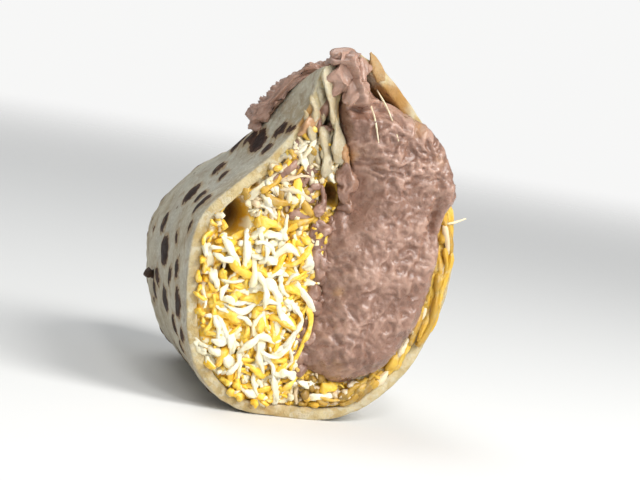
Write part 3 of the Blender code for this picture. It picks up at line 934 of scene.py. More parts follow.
BEAN_FINE = 7
BEAN_STEP = 0.46
BEAN_ROUND = 5.6
SLOPE_WIDE = 11.0         # the gentle side, where the beans run out over the cheese
BEAN_ROWS = (-0.2, 0.5, 1.4, 2.6, 4.2, 6.0) + tuple(np.arange(7.4, 33.0, 0.8)) + (
    34.0, 37.0, 41.0, 46.0, 52.0, 58.0, 64.0, 68.5)
HOLLOW_DEEP = 3.6
BEAN_SWELLS = (           # x, z, half width, half height, how far out in mm
    (-1.0, 78.0, 5.5, 4.5, 1.6), (0.0, 70.9, 6.5, 1.0, -5.0), (5.4, 72.6, 2.4, 2.0, -4.0),
    (2.0, 66.5, 3.5, 2.6, -1.0), (26.0, 57.0, 6.0, 6.5, 1.8), (21.4, 50.0, 0.8, 6.0, -1.9),
    (23.8, 46.0, 1.1, 8.0, 1.0), (3.5, 54.0, 4.0, 7.0, -0.8), (15.0, 13.0, 6.0, 1.8, -1.8),
    (12.0, 52.0, 3.0, 2.5, 0.9), (15.0, 34.0, 5.0, 6.0, 0.8), (5.0, 42.5, 2.0, 1.6, -0.9),
    (20.0, 41.0, 0.9, 7.0, -0.7), (3.0, 46.5, 0.8, 3.5, -0.8))
OILED = ((15.0, 69.0, 2.6, 0.7), (1.5, 60.5, 1.8, 0.9), (28.5, 52.5, 3.0, 1.0),
         (-4.0, 44.5, 3.0, 0.6), (21.0, 63.0, 2.4, 0.4), (3.0, 30.0, 1.6, 0.6),
         (5.0, 12.0, 5.0, 0.4))


def bean_relief(points):
    """The lumps, swirls and smears of mashed beans, in mm outwards."""
    still = np.exp(-((points[:, 0] - 4.0) / 4.0) ** 2 - ((points[:, 2] - 50.0) / 9.0) ** 2)
    rough = (1.0 - 0.6 * still) * (1.0 + 0.7 * eased(points[:, 2], 52.0, 60.0))
    return (0.62 * wrinkle(points, 8.0, 31)
            + rough * (0.45 * wrinkle(points, 4.0, 50) + 0.50 * swirls(points, 2.7, 32)
                       + 0.46 * swirls(points, 1.55, 40, (0.8, 1.0, 1.0))
                       + 0.12 * wrinkle(points, 0.9, 46) - 0.6))


def bean_mash(finish):
    """The beans: a full front face, the lump out of the seam, and the core behind."""
    rings = [at_depth(curve(bean_loop(0.0, 1.0), BEAN_FINE, closed=True), -0.5)]
    for y in BEAN_ROWS:
        hollow = HOLLOW_DEEP * ease(1.0 - max(0.0, y) / 8.0)
        rings.append(at_depth(curve(bean_loop(max(0.0, y), 0.0, hollow), BEAN_FINE,
                                    closed=True), y))
    grid = np.array(rings)
    rows, columns = grid.shape[:2]
    points, faces, start, room = filled_tube(rings, BEAN_STEP, 21)
    rough = bean_relief(points)

    face = points[start:]
    near = 1.0 - np.clip(room / BEAN_ROUND, 0.0, 1.0)
    full = np.sqrt(1.0 - near ** 2.4)
    slope = np.sin(0.5 * math.pi * np.clip(room / SLOPE_WIDE, 0.0, 1.0)) ** 0.85
    sloping = (1.0 - eased(face[:, 0], 3.0, 12.0)) * (1.0 - eased(face[:, 2], 60.0, 68.0))
    face[:, 1] -= BEAN_FRONT * 0.94 * mix(full, slope, sloping)
    for x, z, wide, high, out in BEAN_SWELLS:
        amount = np.exp(-((face[:, 0] - x) / wide) ** 2 - ((face[:, 2] - z) / high) ** 2)
        face[:, 1] -= out * amount * np.clip(room / 2.0, 0.0, 1.0)
    tilt = near ** 1.6 * (1.0 - 0.8 * sloping)
    middle = np.array((13.0, 42.0))
    aside = face[:, (0, 2)] - middle
    aside /= np.linalg.norm(aside, axis=1, keepdims=True) + 1e-6
    push = rough[start:] * (0.45 + 0.55 * np.clip(room / 1.5, 0.0, 1.0))
    face[:, 1] -= push * (1.0 - 0.55 * tilt)
    face[:, (0, 2)] += aside * (0.7 * tilt * push)[:, None]

    normal = face_out(np.concatenate([grid[:, -1:], grid, grid[:, :1]], axis=1))[:, 1:-1]
    centre = grid.mean(axis=1, keepdims=True)
    outwards = np.sign(np.mean((normal * (grid - centre)).sum(axis=2)))
    crown = np.arange(columns) / BEAN_FINE
    out_of_seam = eased(crown, 22.0, 27.0) * (1.0 - eased(crown, 40.0, 43.0))
    depth = grid[:, 0, 1]
    weight = out_of_seam[None, :] * np.where(depth < 33.0, 1.3, 0.0)[:, None]
    weight[0] = 0.45
    skin = rough[:start].reshape(rows, columns) * weight * outwards
    points[:start] += (normal * skin[:, :, None]).reshape(-1, 3)
    points[:, 2] = np.maximum(points[:, 2], 0.3)

    # painted light: the top of the beans and the lump set back from the cut are lightened against the
    # shade they sit in
    painted_lightening = 0.8 * np.maximum(eased(points[:, 2], 68.0, 74.0), eased(points[:, 1], 8.0, 14.0))
    oil = np.zeros(len(points))
    for x, z, reach, amount in OILED:
        gone = np.hypot(points[:, 0] - x, points[:, 2] - z) / reach
        oil = np.maximum(oil, amount * np.exp(-gone ** 2) * (points[:, 1] < 3.0))
    return add_piece("refried_beans_mash", points, faces, finish,
                     ["refried_beans"], {"oil": oil, "crest_and_highlight": np.clip(rough + 0.5, 0.0, 1.2) + painted_lightening})


# ---------------------------------------------------------------- the cheese

CORE_COLUMNS = 150
CORE_STEP = 0.5
CORE_FRONT = 0.9
# Pits in the cheese; cheese_core also paints shade into each.
CAVITIES = (              # x, z, half width, half height, depth
    (-22.6, 43.5, 2.5, 4.4, 9.0), (-19.6, 51.2, 1.2, 1.2, 4.0), (-22.4, 32.0, 1.4, 1.1, 3.0),
    (-17.0, 38.2, 1.0, 1.0, 2.5), (-16.0, 13.4, 1.5, 0.8, 2.5), (-4.6, 8.1, 2.0, 0.7, 2.5),
    (-3.8, 31.2, 0.9, 1.0, 2.0), (-7.6, 60.3, 0.9, 1.3, 3.0), (-9.6, 69.8, 0.8, 1.4, 3.0),
    (-1.4, 51.3, 2.5, 2.5, 6.0))
# the pocket, a hollow that gets painted shade
POCKET = (-1.4, 51.3, 2.7, 2.6)


def in_cavity(x, z, spare=0.0):
    for cx, cz, wide, high, depth in CAVITIES[:3]:
        if ((x - cx) / (wide + spare)) ** 2 + ((z - cz) / (high + spare)) ** 2 < 1.0:
            return True
    px, pz, wide, high = POCKET
    return ((x - px) / (wide + spare)) ** 2 + ((z - pz) / (high + spare)) ** 2 < 1.0


def crumbs(points, size, seed):
    """Packed crumbs: how high each point stands on its crumb, and the crumb's own number."""
    shift = Vector((seed * 3.3, seed * 5.1, seed * 2.7))
    high, own = [], []
    for p in (points / size).tolist():
        gone, near = noise.voronoi(Vector(p) + shift)
        high.append(1.0 - min(1.0, 1.15 * gone[0]) ** 2)
        own.append((near[0].x * 12.99 + near[0].y * 78.23 + near[0].z * 37.72) % 1.0)
    return np.array(high), np.array(own)


def cheese_core(finish):
    """What lies under the shreds: a body of packed, half-melted crumbs that fills the wrap."""
    rings = []
    for y in (CORE_FRONT, 3.0, 5.0, 8.0, 12.0, 18.0, 25.5, 33.5, 41.0, 52.0, 60.0, 68.5):
        a, b = cheese_sides(y)
        loop = np.concatenate([even(a, CORE_COLUMNS), even(b, CORE_COLUMNS)[::-1]])
        rings.append(at_depth(loop, y))
    points, faces, start, room = filled_tube(rings, CORE_STEP, 22)
    face = points[start:]
    coarse, own = crumbs(face, 2.6, 1)
    fine, fine_own = crumbs(face, 1.3, 2)
    face[:, 1] -= 0.9 * coarse + 0.55 * fine + 0.7 * wrinkle(face, 4.0, 41) - 0.6
    # deep: painted shade in the pits, in the gaps between crumbs and in the pocket
    deep = np.zeros(len(points))
    for x, z, wide, high, depth in CAVITIES:
        gone = ((face[:, 0] - x) / wide) ** 2 + ((face[:, 2] - z) / high) ** 2
        pit = np.exp(-gone ** 1.5)
        face[:, 1] += depth * pit * np.clip(room / 1.2, 0.0, 1.0)
        deep[start:] = np.maximum(deep[start:], pit)
    hole = 1.0 - np.maximum(coarse, fine)
    deep[start:] = np.maximum(1.15 * deep[start:], 0.35 * eased(hole, 0.5, 1.0))
    px, pz, wide, high = POCKET
    deep[start:] = np.maximum(deep[start:], 1.25 * np.exp(
        -(((face[:, 0] - px) / wide) ** 2 + ((face[:, 2] - pz) / high) ** 2) ** 2))
    white = np.zeros(len(points))
    white[start:] = np.where(fine_own > 0.62, 0.9, 0.0) * (deep[start:] < 0.4)
    return add_piece("cheese_core", points, faces, finish,
                     ["shredded_cheese"], {"deep": deep, "white": white,
                                           "shade": np.full(len(points), 0.45)})


def cheese_region():
    """The closed outline of the cheese on the cut face."""
    outer, inner = cheese_sides(0.0)
    return np.array([tuple(p) for p in outer] + [tuple(p) for p in inner[::-1]])


def shred(line, width, depth, turn, chance, sides=8):
    """One shred along its line: a bent flat stick with ragged sides and slanting ends."""
    line = np.asarray(line, float)
    count = len(line)
    tangent = np.gradient(line, axis=0)
    tangent /= np.linalg.norm(tangent, axis=1, keepdims=True) + 1e-9
    aside = np.cross(tangent, (0.31, -0.87, 0.38))
    aside /= np.linalg.norm(aside, axis=1, keepdims=True) + 1e-9
    above = np.cross(aside, tangent)
    share = np.linspace(-1.0, 1.0, count)
    taper = (1.0 - 0.42 * np.abs(share) ** 7) * (1.0 + 0.22 * np.sin(
        share * chance.uniform(3.0, 8.0) + chance.uniform(0.0, 6.0)))
    around = np.arange(sides) * 2 * math.pi / sides + math.pi / sides
    c, s = np.cos(around), np.sin(around)
    c = np.sign(c) * np.abs(c) ** 0.55
    s = np.sign(s) * np.abs(s) ** 0.55
    spin = turn + share[:, None] * chance.uniform(-1.0, 1.0)
    u = c[None, :] * width / 2
    v = s[None, :] * depth / 2
    across = (u * np.cos(spin) - v * np.sin(spin)) * taper[:, None]
    up = (u * np.sin(spin) + v * np.cos(spin)) * taper[:, None]
    ring = line[:, None, :] + across[:, :, None] * aside[:, None, :] + up[:, :, None] * above[:, None, :]
    slant = chance.uniform(-0.5, 0.5)
    ring += (slant * np.abs(share) ** 9)[:, None, None] * across[:, :, None] * tangent[:, None, :]
    faces = grid_faces(count, sides, closed_columns=True)
    faces.append(tuple(range(sides)))
    faces.append(tuple(range((count - 1) * sides, count * sides)))
    return ring.reshape(-1, 3), faces


def bent_line(middle, heading, size, bow, chance, count=9):
    """A shred's line: nearly straight, with a bow and a little wander."""
    heading = np.array(heading, float)
    heading /= np.linalg.norm(heading)
    aside = np.cross(heading, [chance.gauss(0, 1) for i in range(3)])
    aside /= np.linalg.norm(aside)
    other = np.cross(heading, aside)
    t = np.linspace(-0.5, 0.5, count)[:, None]
    return (np.array(middle) + heading * size * t + aside * size * bow * (0.25 - t ** 2) * 2.0
            + other * size * 0.10 * np.sin(t * 5.0 + chance.uniform(0, 6)))


class Heap:
    """Many small things joined into one mesh."""

    def __init__(self):
        self.points, self.faces, self.shade, self.deep = [], [], [], []
        self.count = 0

    def add(self, points, faces, shade, deep=0.0, rough=0.14):
        ragged = np.stack([wrinkle(points, 0.85, 90 + k) for k in range(3)], axis=1)
        points = points + rough * ragged
        self.points.append(points)
        self.faces += [tuple(i + self.count for i in face) for face in faces]
        self.shade.append(np.full(len(points), shade))
        self.deep.append(np.full(len(points), deep))
        self.count += len(points)

    def place(self, name, finish, slot):
        return add_piece(name, np.concatenate(self.points), self.faces, finish, (),
                         {"shade": np.concatenate(self.shade), "white": np.zeros(self.count),
                          "deep": np.concatenate(self.deep)})


WHITE_STRANDS = (         # x, z of start, middle and end; width; how far it stands out
    ((-19.7, 40.5), (-19.2, 36.0), (-18.4, 31.5), 1.7, 1.5),
    ((-18.0, 35.6), (-13.5, 35.3), (-9.0, 33.9), 1.7, 1.9),
    ((-13.4, 34.0), (-10.4, 38.2), (-6.2, 36.6), 1.9, 2.0),
    ((-7.0, 38.6), (-4.6, 36.6), (-4.4, 33.0), 2.4, 1.6),
    ((-13.6, 30.4), (-11.8, 32.6), (-9.2, 34.2), 1.6, 1.4),
    ((-17.4, 28.8), (-12.6, 29.6), (-9.6, 25.0), 2.4, 2.2),
    ((-11.4, 28.4), (-9.0, 23.6), (-5.2, 19.6), 1.8, 2.1),
    ((-9.4, 27.2), (-6.6, 25.9), (-4.0, 23.8), 1.6, 1.3),
    ((-26.8, 31.4), (-25.4, 29.4), (-24.0, 27.2), 1.8, 1.3),
    ((-25.6, 39.4), (-22.8, 36.0), (-20.0, 31.8), 1.7, 1.8),
    ((-22.6, 24.6), (-18.4, 23.0), (-14.2, 25.2), 1.4, 1.6),
    ((-21.4, 26.6), (-18.0, 27.4), (-14.6, 26.6), 1.3, 1.0),
    ((-20.0, 18.6), (-19.6, 16.0), (-18.9, 13.2), 1.7, 1.5),
    ((-20.6, 17.6), (-21.6, 16.0), (-22.6, 14.8), 1.5, 1.1),
    ((-12.4, 18.6), (-12.6, 14.0), (-10.6, 9.6), 1.7, 1.9),
    ((-24.2, 14.4), (-20.4, 12.6), (-16.0, 9.2), 2.3, 0.9),
    ((-8.0, 9.6), (-5.4, 10.4), (-2.6, 9.4), 1.8, 1.8),
    ((-8.6, 9.8), (-7.2, 6.6), (-6.2, 2.6), 1.7, 1.2),
    ((-17.0, 40.2), (-13.6, 40.8), (-10.4, 41.2), 1.8, 1.6),
    ((-17.4, 36.8), (-14.6, 38.2), (-11.6, 39.6), 1.6, 1.3),
    ((-5.4, 16.6), (-4.2, 13.8), (-3.0, 11.2), 1.6, 1.2),
    ((-17.6, 49.6), (-16.0, 48.4), (-13.6, 47.0), 2.4, 0.9),
    ((-16.8, 52.6), (-15.2, 50.8), (-13.2, 50.6), 2.2, 0.8),
    ((-12.2, 62.2), (-9.4, 58.2), (-6.6, 54.4), 1.7, 1.0),
    ((-9.2, 52.6), (-8.6, 49.8), (-8.2, 47.2), 1.3, 1.2),
    ((-12.0, 44.0), (-15.4, 45.8), (-18.2, 47.4), 1.3, 0.9),
    ((-28.0, 36.8), (-27.4, 33.4), (-27.8, 30.6), 1.5, 0.6),
    ((-2.0, 8.8), (0.6, 8.0), (2.4, 9.8), 1.4, 1.3),
    ((1.2, 5.0), (4.4, 5.6), (7.4, 6.6), 1.5, 1.0),
    ((-15.4, 6.2), (-12.6, 5.0), (-9.6, 4.6), 1.8, 0.9),
)
YELLOW_STRANDS = (
    ((-14.2, 25.4), (-13.2, 21.0), (-13.0, 16.6), 2.2, 1.4),
    ((-10.4, 22.6), (-9.4, 18.0), (-8.6, 13.4), 2.4, 1.0),
    ((-18.4, 26.2), (-16.0, 26.4), (-13.6, 25.6), 2.8, 0.9),
    ((-24.0, 21.4), (-20.0, 22.0), (-16.6, 21.2), 2.8, 1.0),
    ((-9.8, 29.6), (-6.6, 29.2), (-3.0, 29.6), 2.2, 1.3),
    ((-17.6, 33.4), (-15.4, 33.0), (-13.0, 31.0), 2.2, 1.0),
    ((-10.6, 32.4), (-7.6, 32.6), (-5.2, 31.4), 1.9, 1.2),
    ((-15.6, 11.6), (-12.4, 10.0), (-9.8, 8.8), 1.5, 1.3),
    ((-18.0, 43.6), (-14.0, 43.2), (-9.0, 42.4), 2.3, 1.0),
    ((-10.4, 54.8), (-9.4, 50.4), (-9.8, 46.4), 1.9, 1.3),
    ((-12.9, 60.4), (-12.6, 56.6), (-13.0, 53.0), 1.8, 0.8),
    ((-9.4, 46.4), (-7.4, 46.8), (-5.6, 47.0), 1.8, 1.0),
    ((-7.0, 41.6), (-5.0, 40.2), (-3.0, 38.6), 2.0, 0.6),
    ((-2.6, 36.6), (-1.8, 33.6), (-2.6, 30.4), 1.9, 0.5),
    ((3.4, 7.6), (5.6, 7.9), (7.8, 8.8), 2.4, 0.9),
    ((-11.6, 5.4), (-9.4, 4.2), (-7.0, 4.0), 1.8, 0.6),
    ((-25.4, 17.6), (-22.6, 18.0), (-19.8, 19.4), 2.6, 0.6),
)


NET_STRANDS = 46
OVER_RIM = -0.5           # crumbs reach this far over the cut edge on the left


def strewn(region, step, chance):
    """Places for shreds all over the heap, about one step apart, in mixed order."""
    low, high = region.min(axis=0), region.max(axis=0)
    spots = []
    for i in range(int((high[0] - low[0]) / step) + 1):
        for j in range(int((high[1] - low[1]) / step) + 1):
            spots.append((low[0] + (i + chance.uniform(-0.3, 1.3)) * step,
                          low[1] + (j + chance.uniform(-0.3, 1.3)) * step))
    chance.shuffle(spots)
    room = room_inside(np.array(spots), region)
    return [(x, z, inside) for (x, z), inside in zip(spots, room)
            if inside > (OVER_RIM if x < -8.0 else 0.5)]


def cheese_heap(yellow_finish, white_finish):
    """Every visible shred, at true size: yellow and white ones, joined kind by kind."""
    chance = random.Random(5)
    region = cheese_region()
    yellow, white = Heap(), Heap()
    for step, kind in ((1.4, "crumb"), (2.1, "strand")):
        for x, z, room in strewn(region, step, chance):
            if in_cavity(x, z, 0.3):
                continue
            pale = 0.26 if z > 13.0 else 0.42
            if z > 46.0:
                pale = 0.62
            # painted shade for shreds high up and at the bottom beside the beans
            painted_shade_share = 0.75 * ease((z - 40.0) / 7.0) + 0.8 * ease((x + 5.0) / 5.0) * ease((14.0 - z) / 4.0)
            heap = white if chance.random() < pale else yellow
            if kind == "crumb":
                width = chance.uniform(0.8, 1.7)
                size = chance.uniform(1.6, 4.0)
                heading = [chance.gauss(0, 1) for i in range(3)]
                middle = (x, chance.uniform(-0.3, 0.9) if room > 0.4 else -0.75, z)
            else:
                if x < -24.0 and chance.random() < 0.5:
                    continue
                width = chance.uniform(1.0, 1.8)
                size = chance.uniform(4.5, 10.5)
                angle = chance.uniform(0.0, 2 * math.pi)
                heading = (math.cos(angle), chance.uniform(-0.3, 0.3), math.sin(angle))
                middle = (x, chance.uniform(-0.9, 0.6), z)
            depth = width * chance.uniform(0.5, 0.9)
            for attempt in range(5):
                line = bent_line(middle, heading, size, chance.uniform(0.0, 0.4), chance,
                                 5 if kind == "crumb" else 10)
                least = 0.1 + width * 0.4 if room > 0.4 else -1.4
                if room_inside(line[:, (0, 2)], region).min() > least:
                    break
                size *= 0.72
            else:
                continue
            if any(in_cavity(px, pz) for px, py, pz in line):
                continue
            points, faces = shred(line, width, depth, chance.uniform(0, 3), chance,
                                  6 if kind == "crumb" else 8)
            # the deep value is painted shade, more for shreds set back from the face
            heap.add(points, faces, chance.random() ** 1.3,
                     0.3 * ease(line[:, 1].mean() / 2.0) + painted_shade_share * chance.random() ** 0.6,
                     0.24 if kind == "crumb" else 0.16)
    for strands, heap in ((WHITE_STRANDS, white), (YELLOW_STRANDS, yellow)):
        for start, middle, end, width, out in strands:
            line = at_depth(curve([start, middle, end], 8), 0.0)
            line[:, 1] = -out + 0.7 * width * np.abs(np.linspace(-1.0, 1.0, len(line))) ** 2
            line += np.stack([wrinkle(line, 2.6, 50 + i) * 0.45 for i in range(3)], axis=1)
            points, faces = shred(line, width, 0.55 * width, 0.0, chance, 10)
            heap.add(points, faces, chance.random() * 0.35, 0.0, 0.2)
    for turn in range(NET_STRANDS):
        x, z = chance.uniform(-25.0, -3.0), chance.uniform(9.0, 43.0)
        angle = chance.uniform(0.0, math.pi)
        line = bent_line((x, chance.uniform(-1.9, -0.9), z),
                         (math.cos(angle), chance.uniform(-0.12, 0.12), math.sin(angle)),
                         chance.uniform(5.0, 10.0), chance.uniform(0.0, 0.6), chance, 12)
        line += np.stack([wrinkle(line, 2.0, 55 + i) * 0.5 for i in range(3)], axis=1)
        if room_inside(line[:, (0, 2)], region).min() < 0.6:
            continue
        if any(in_cavity(px, pz) for px, py, pz in line):
            continue
        width = chance.uniform(0.9, 1.5)
        points, faces = shred(line, width, 0.6 * width, 0.0, chance, 8)
        (white if chance.random() < 0.75 else yellow).add(
            points, faces, chance.random() * 0.4, 0.0, 0.2)
    wall_strip(yellow, white, chance)
    yellow.place("yellow_cheese_shreds", yellow_finish, "shredded_cheese")
    white.place("white_cheese_shreds", white_finish, "shredded_cheese")


def wall_strip(yellow, white, chance):
    """Half-melted shreds pressed between the beans and the right wall."""
    for k in range(46):
        start = chance.uniform(70.0, 150.0)
        sweep = chance.uniform(9.0, 24.0)
        inset = SHEET + (chance.uniform(-1.3, 2.0) if start < 105.0 else chance.uniform(0.7, 2.4))
        out = chance.uniform(-0.3, 0.9) + 0.8 * ease((SHEET + 0.8 - inset) / 1.5)
        width = chance.uniform(1.1, 2.1)
        line = [wall(mix(start, start + sweep, s / 9.0),
                     inset + 0.5 * math.sin(s * 0.6 + k), 0.0) for s in range(10)]
        line = at_depth(line, 0.0)
        line[:, 1] = -out + 0.3 * np.cos(np.arange(10) * 0.7 + k)
        points, faces = shred(line, width, width * 0.8, 0.3, chance)
        heap = white if chance.random() < 0.12 else yellow
        # painted shade on the strip in its crevice under the beans' edge, more towards the bottom
        heap.add(points, faces, 0.3 + 0.6 * chance.random(),
                 chance.uniform(0.2, 0.6) + 0.25 * ease((start - 115.0) / 15.0))


# ---------------------------------------------------------------- small things

DOLLOPS = (               # x, y, z; half sizes along, in depth, across; lean in degrees
    (-3.0, -0.6, 78.8, 5.0, 3.2, 3.6, 84.0), (-0.4, -2.6, 75.0, 3.4, 2.2, 2.2, 15.0),
    (-4.4, -1.0, 76.0, 3.2, 2.0, 1.7, 80.0), (0.2, -2.0, 78.4, 3.8, 2.4, 2.0, 78.0),
    (1.4, -0.9, 54.0, 4.8, 2.0, 2.3, 96.0), (0.2, -0.6, 60.6, 3.0, 1.3, 1.0, 112.0),
    (-7.4, -0.5, 45.8, 4.4, 0.8, 1.0, 8.0), (-3.4, -0.6, 42.6, 2.6, 0.8, 1.9, 60.0),
    (-9.6, -0.6, 52.0, 3.0, 0.6, 0.8, 75.0), (-12.4, -0.5, 55.6, 2.6, 0.7, 0.8, 50.0),
    (-1.6, -1.0, 18.2, 1.9, 1.1, 1.2, 30.0), (-4.2, -0.8, 47.4, 1.4, 1.0, 1.6, 0.0),
    (-9.4, -0.4, 66.4, 3.6, 1.1, 1.3, 55.0), (-6.4, -0.3, 69.8, 3.2, 1.1, 0.9, 68.0),
    (-3.4, -0.8, 50.2, 0.9, 0.9, 3.0, 10.0), (2.2, -1.6, 49.4, 2.2, 1.2, 1.4, 40.0),
    (-2.4, -0.4, 38.8, 1.8, 1.2, 2.6, 0.0), (-1.4, -0.6, 33.4, 1.5, 1.1, 2.2, 0.0),
    (-3.0, -0.7, 40.4, 3.4, 1.1, 2.2, 75.0), (-2.4, -0.6, 36.0, 2.6, 1.1, 2.2, 20.0),
    (-3.2, -0.7, 17.2, 2.6, 1.1, 2.2, 60.0), (-2.2, -0.6, 14.2, 2.8, 1.0, 1.7, -10.0),
    (-1.6, -0.6, 24.4, 2.2, 1.0, 1.5, 90.0), (-1.8, -0.7, 29.2, 2.4, 1.0, 1.7, 80.0),
    (-6.4, -0.2, 49.6, 1.7, 0.7, 0.9, 35.0), (-11.0, -0.2, 48.6, 1.5, 0.6, 0.8, 120.0),
    (-14.6, -0.2, 52.8, 1.8, 0.6, 0.7, 60.0), (-7.6, -0.4, 56.0, 1.6, 0.8, 0.9, 100.0),
    (-11.6, -0.3, 60.4, 2.0, 0.7, 0.8, 70.0), (-5.4, -0.7, 52.6, 1.2, 0.7, 0.9, 10.0))
DOLLOP_OIL = (12, 5)
MASH_BITS = 38
LEAF_SCRAPS = (           # x, z of start, middle and end; width; how far it stands out
    ((-7.0, 79.5), (-5.6, 73.5), (-3.4, 67.0), 4.2, 1.4),
    ((-3.8, 69.0), (-2.2, 63.4), (-0.8, 58.4), 4.0, 1.6),
    ((-9.0, 72.4), (-7.8, 68.8), (-7.2, 64.6), 3.2, 0.2),
    ((-7.8, 76.4), (-7.0, 72.6), (-6.6, 69.4), 2.6, -0.2),
    ((6.8, 77.4), (4.4, 80.8), (2.6, 84.0), 2.6, 0.3),
    ((-8.6, 64.0), (-6.4, 60.6), (-5.0, 56.8), 2.6, 0.5),
    ((-9.8, 67.0), (-7.8, 62.5), (-6.8, 57.0), 3.0, 1.1),
    ((-6.2, 66.0), (-4.4, 60.5), (-3.6, 54.8), 3.2, 1.5),
    ((-5.6, 62.6), (-4.2, 59.6), (-3.2, 55.6), 3.2, 0.7),
    ((-7.2, 73.4), (-6.4, 70.0), (-6.0, 66.4), 1.6, 0.2),
    ((-10.6, 69.0), (-9.8, 66.4), (-10.2, 63.4), 1.3, 0.2),
    ((-3.2, 65.6), (-4.2, 62.8), (-6.0, 60.4), 1.5, 0.9))


def dollop(middle, size, lean, rough=1.0):
    """A rounded lump of paste with swirled sides."""
    rows, columns = 26, 34
    up = np.linspace(-0.5, 0.5, rows)[:, None] * math.pi * 0.985
    round_ = (np.arange(columns) * 2 * math.pi / columns)[None, :]
    ball = np.stack([np.cos(up) * np.cos(round_), np.cos(up) * np.sin(round_),
                     np.sin(up) * np.ones_like(round_)], axis=-1)
    c, s = math.cos(math.radians(lean)), math.sin(math.radians(lean))
    along_x, depth, across = (ball[..., k] * size[k] for k in range(3))
    points = np.stack([middle[0] + along_x * c - across * s, middle[1] + depth,
                       middle[2] + along_x * s + across * c], axis=-1).reshape(-1, 3)
    out = ball.reshape(-1, 3) * np.array((1.0 / size[0], 1.0 / size[1], 1.0 / size[2]))
    out = np.stack([out[:, 0] * c - out[:, 2] * s, out[:, 1], out[:, 0] * s + out[:, 2] * c], axis=1)
    out /= np.linalg.norm(out, axis=1, keepdims=True)
    crest_and_highlight = (0.50 * wrinkle(points, 3.4, 71) + 0.42 * swirls(points, 3.0, 72)
             + 0.26 * swirls(points, 1.6, 78) - 0.35)
    small = min(1.3, min(size) / 1.1) * rough
    bend = np.stack([wrinkle(points, 3.0, 81 + k) for k in range(3)], axis=1)
    points = points + min(size) * np.array((0.8, 0.4, 0.8)) * bend
    faces = grid_faces(rows, columns, closed_columns=True)
    faces.append(tuple(range(columns)))
    faces.append(tuple(range((rows - 1) * columns, rows * columns)))
    return points + out * (crest_and_highlight * small)[:, None], faces, crest_and_highlight


def bean_smears(paste):
    """Beans squeezed and smeared over the fold, the cheese and the parting."""
    chance = random.Random(9)
    points, faces, crests_and_highlights, oils, count = [], [], [], [], 0
    lumps = list(DOLLOPS)
    for x, z in even(parting(0.0, 0.0), 26)[2:]:
        size = chance.uniform(0.7, 1.6)
        lumps.append((x + chance.gauss(-0.3, 0.9), chance.uniform(-1.2, 0.4),
                      z + chance.gauss(0.0, 0.8), size * chance.uniform(1.0, 1.7), size * 0.8,
                      size, chance.uniform(0.0, 180.0)))
    for turn in range(MASH_BITS):
        z = chance.uniform(47.0, 68.0)
        size = chance.uniform(0.5, 1.2)
        lumps.append((chance.uniform(-15.0 + 0.35 * (z - 47.0), -3.5), chance.uniform(-0.7, 0.1), z,
                      size * chance.uniform(1.2, 2.2), 0.6 * size, 0.7 * size,
                      chance.uniform(20.0, 130.0)))
    for k, (x, y, z, along_x, depth, across, lean) in enumerate(lumps):
        more, sides, crest_and_highlight = dollop((x, y, z), (along_x, depth, across), lean)
        points.append(more)
        faces += [tuple(i + count for i in side) for side in sides]
        # painted highlight on each smear's crests; the lumps at the top get much more, painted light
        # against the shade they sit in
        crests_and_highlights.append(crest_and_highlight + (1.1 if z > 70.0 else 0.4))
        oils.append(np.full(len(more), 0.9 if k in DOLLOP_OIL else 0.15))
        count += len(more)
    return add_piece("bean_smears", np.concatenate(points), faces, paste, (),
                     {"oil": np.concatenate(oils), "crest_and_highlight": np.concatenate(crests_and_highlights)})


def leaf_scraps(finish):
    """Torn cream layers of the tucked sheet, in the wedge under the fold."""
    chance = random.Random(13)
    points, faces, count = [], [], 0
    for start, middle, end, width, out in LEAF_SCRAPS:
        line = at_depth(curve([start, middle, end], 9), 0.0)
        line[:, 1] = -out + 0.8 * np.abs(np.linspace(-1.0, 1.0, len(line))) ** 2
        more, sides = shred(line, width, 0.9, 0.2, chance, 12)
        more = more + 0.25 * np.stack([wrinkle(more, 1.4, 95 + k) for k in range(3)], axis=1)
        points.append(more)
        faces += [tuple(i + count for i in side) for side in sides]
        count += len(more)
    nothing = np.zeros(count)
    high = np.concatenate(points)
    return add_piece("tucked_scraps", high, faces, finish, (),
                     {"toast": nothing - 6.0, "blister": nothing, "cut": nothing + 0.45,
                      "stain": 0.1 + 0.6 * (high[:, 0] > 2.0)})


def strings_and_scraps(bean_paste, pale_cheese, char):
    """Drawn-out threads across the pocket, a strand over the rim, and the charred nub."""
    chance = random.Random(3)
    threads = Heap()
    for start, middle, end, width in (
            ((5.0, -1.2, 76.0), (7.4, -4.4, 71.6), (9.8, -6.9, 65.6), 0.32),
            ((3.0, -2.4, 73.4), (4.0, -5.0, 69.8), (5.2, -6.8, 64.6), 0.36),
            ((26.2, -1.0, 48.2), (28.6, -1.8, 48.9), (31.9, -1.6, 50.3), 0.5)):
        line = curve([start, middle, end], 7)
        points, faces = shred(line, width, width, 0.0, chance, 8)
        threads.add(points, faces, 0.9, 0.35, 0.05)
    threads.place("cheese_threads", pale_cheese, "shredded_cheese")

    nub = Heap()
    x, z = outline(NUB_ANGLE, NUB_DEPTH)
    out_x, out_z = wall(NUB_ANGLE, -2.4, NUB_DEPTH)
    line = curve([(mix(out_x, x, 1.4), NUB_DEPTH, mix(out_z, z, 1.4)),
                  (x, NUB_DEPTH - 0.3, z + 0.2), (out_x, NUB_DEPTH - 1.2, out_z + 0.9)], 6)
    points, faces = shred(line, 2.1, 1.7, 0.4, chance, 12)
    points = points + np.stack([wrinkle(points, 1.1, 60 + i) * 0.3 for i in range(3)], axis=1)
    nub.add(points, faces, 0.5)
    nub.place("charred_nub", char, "tortilla")


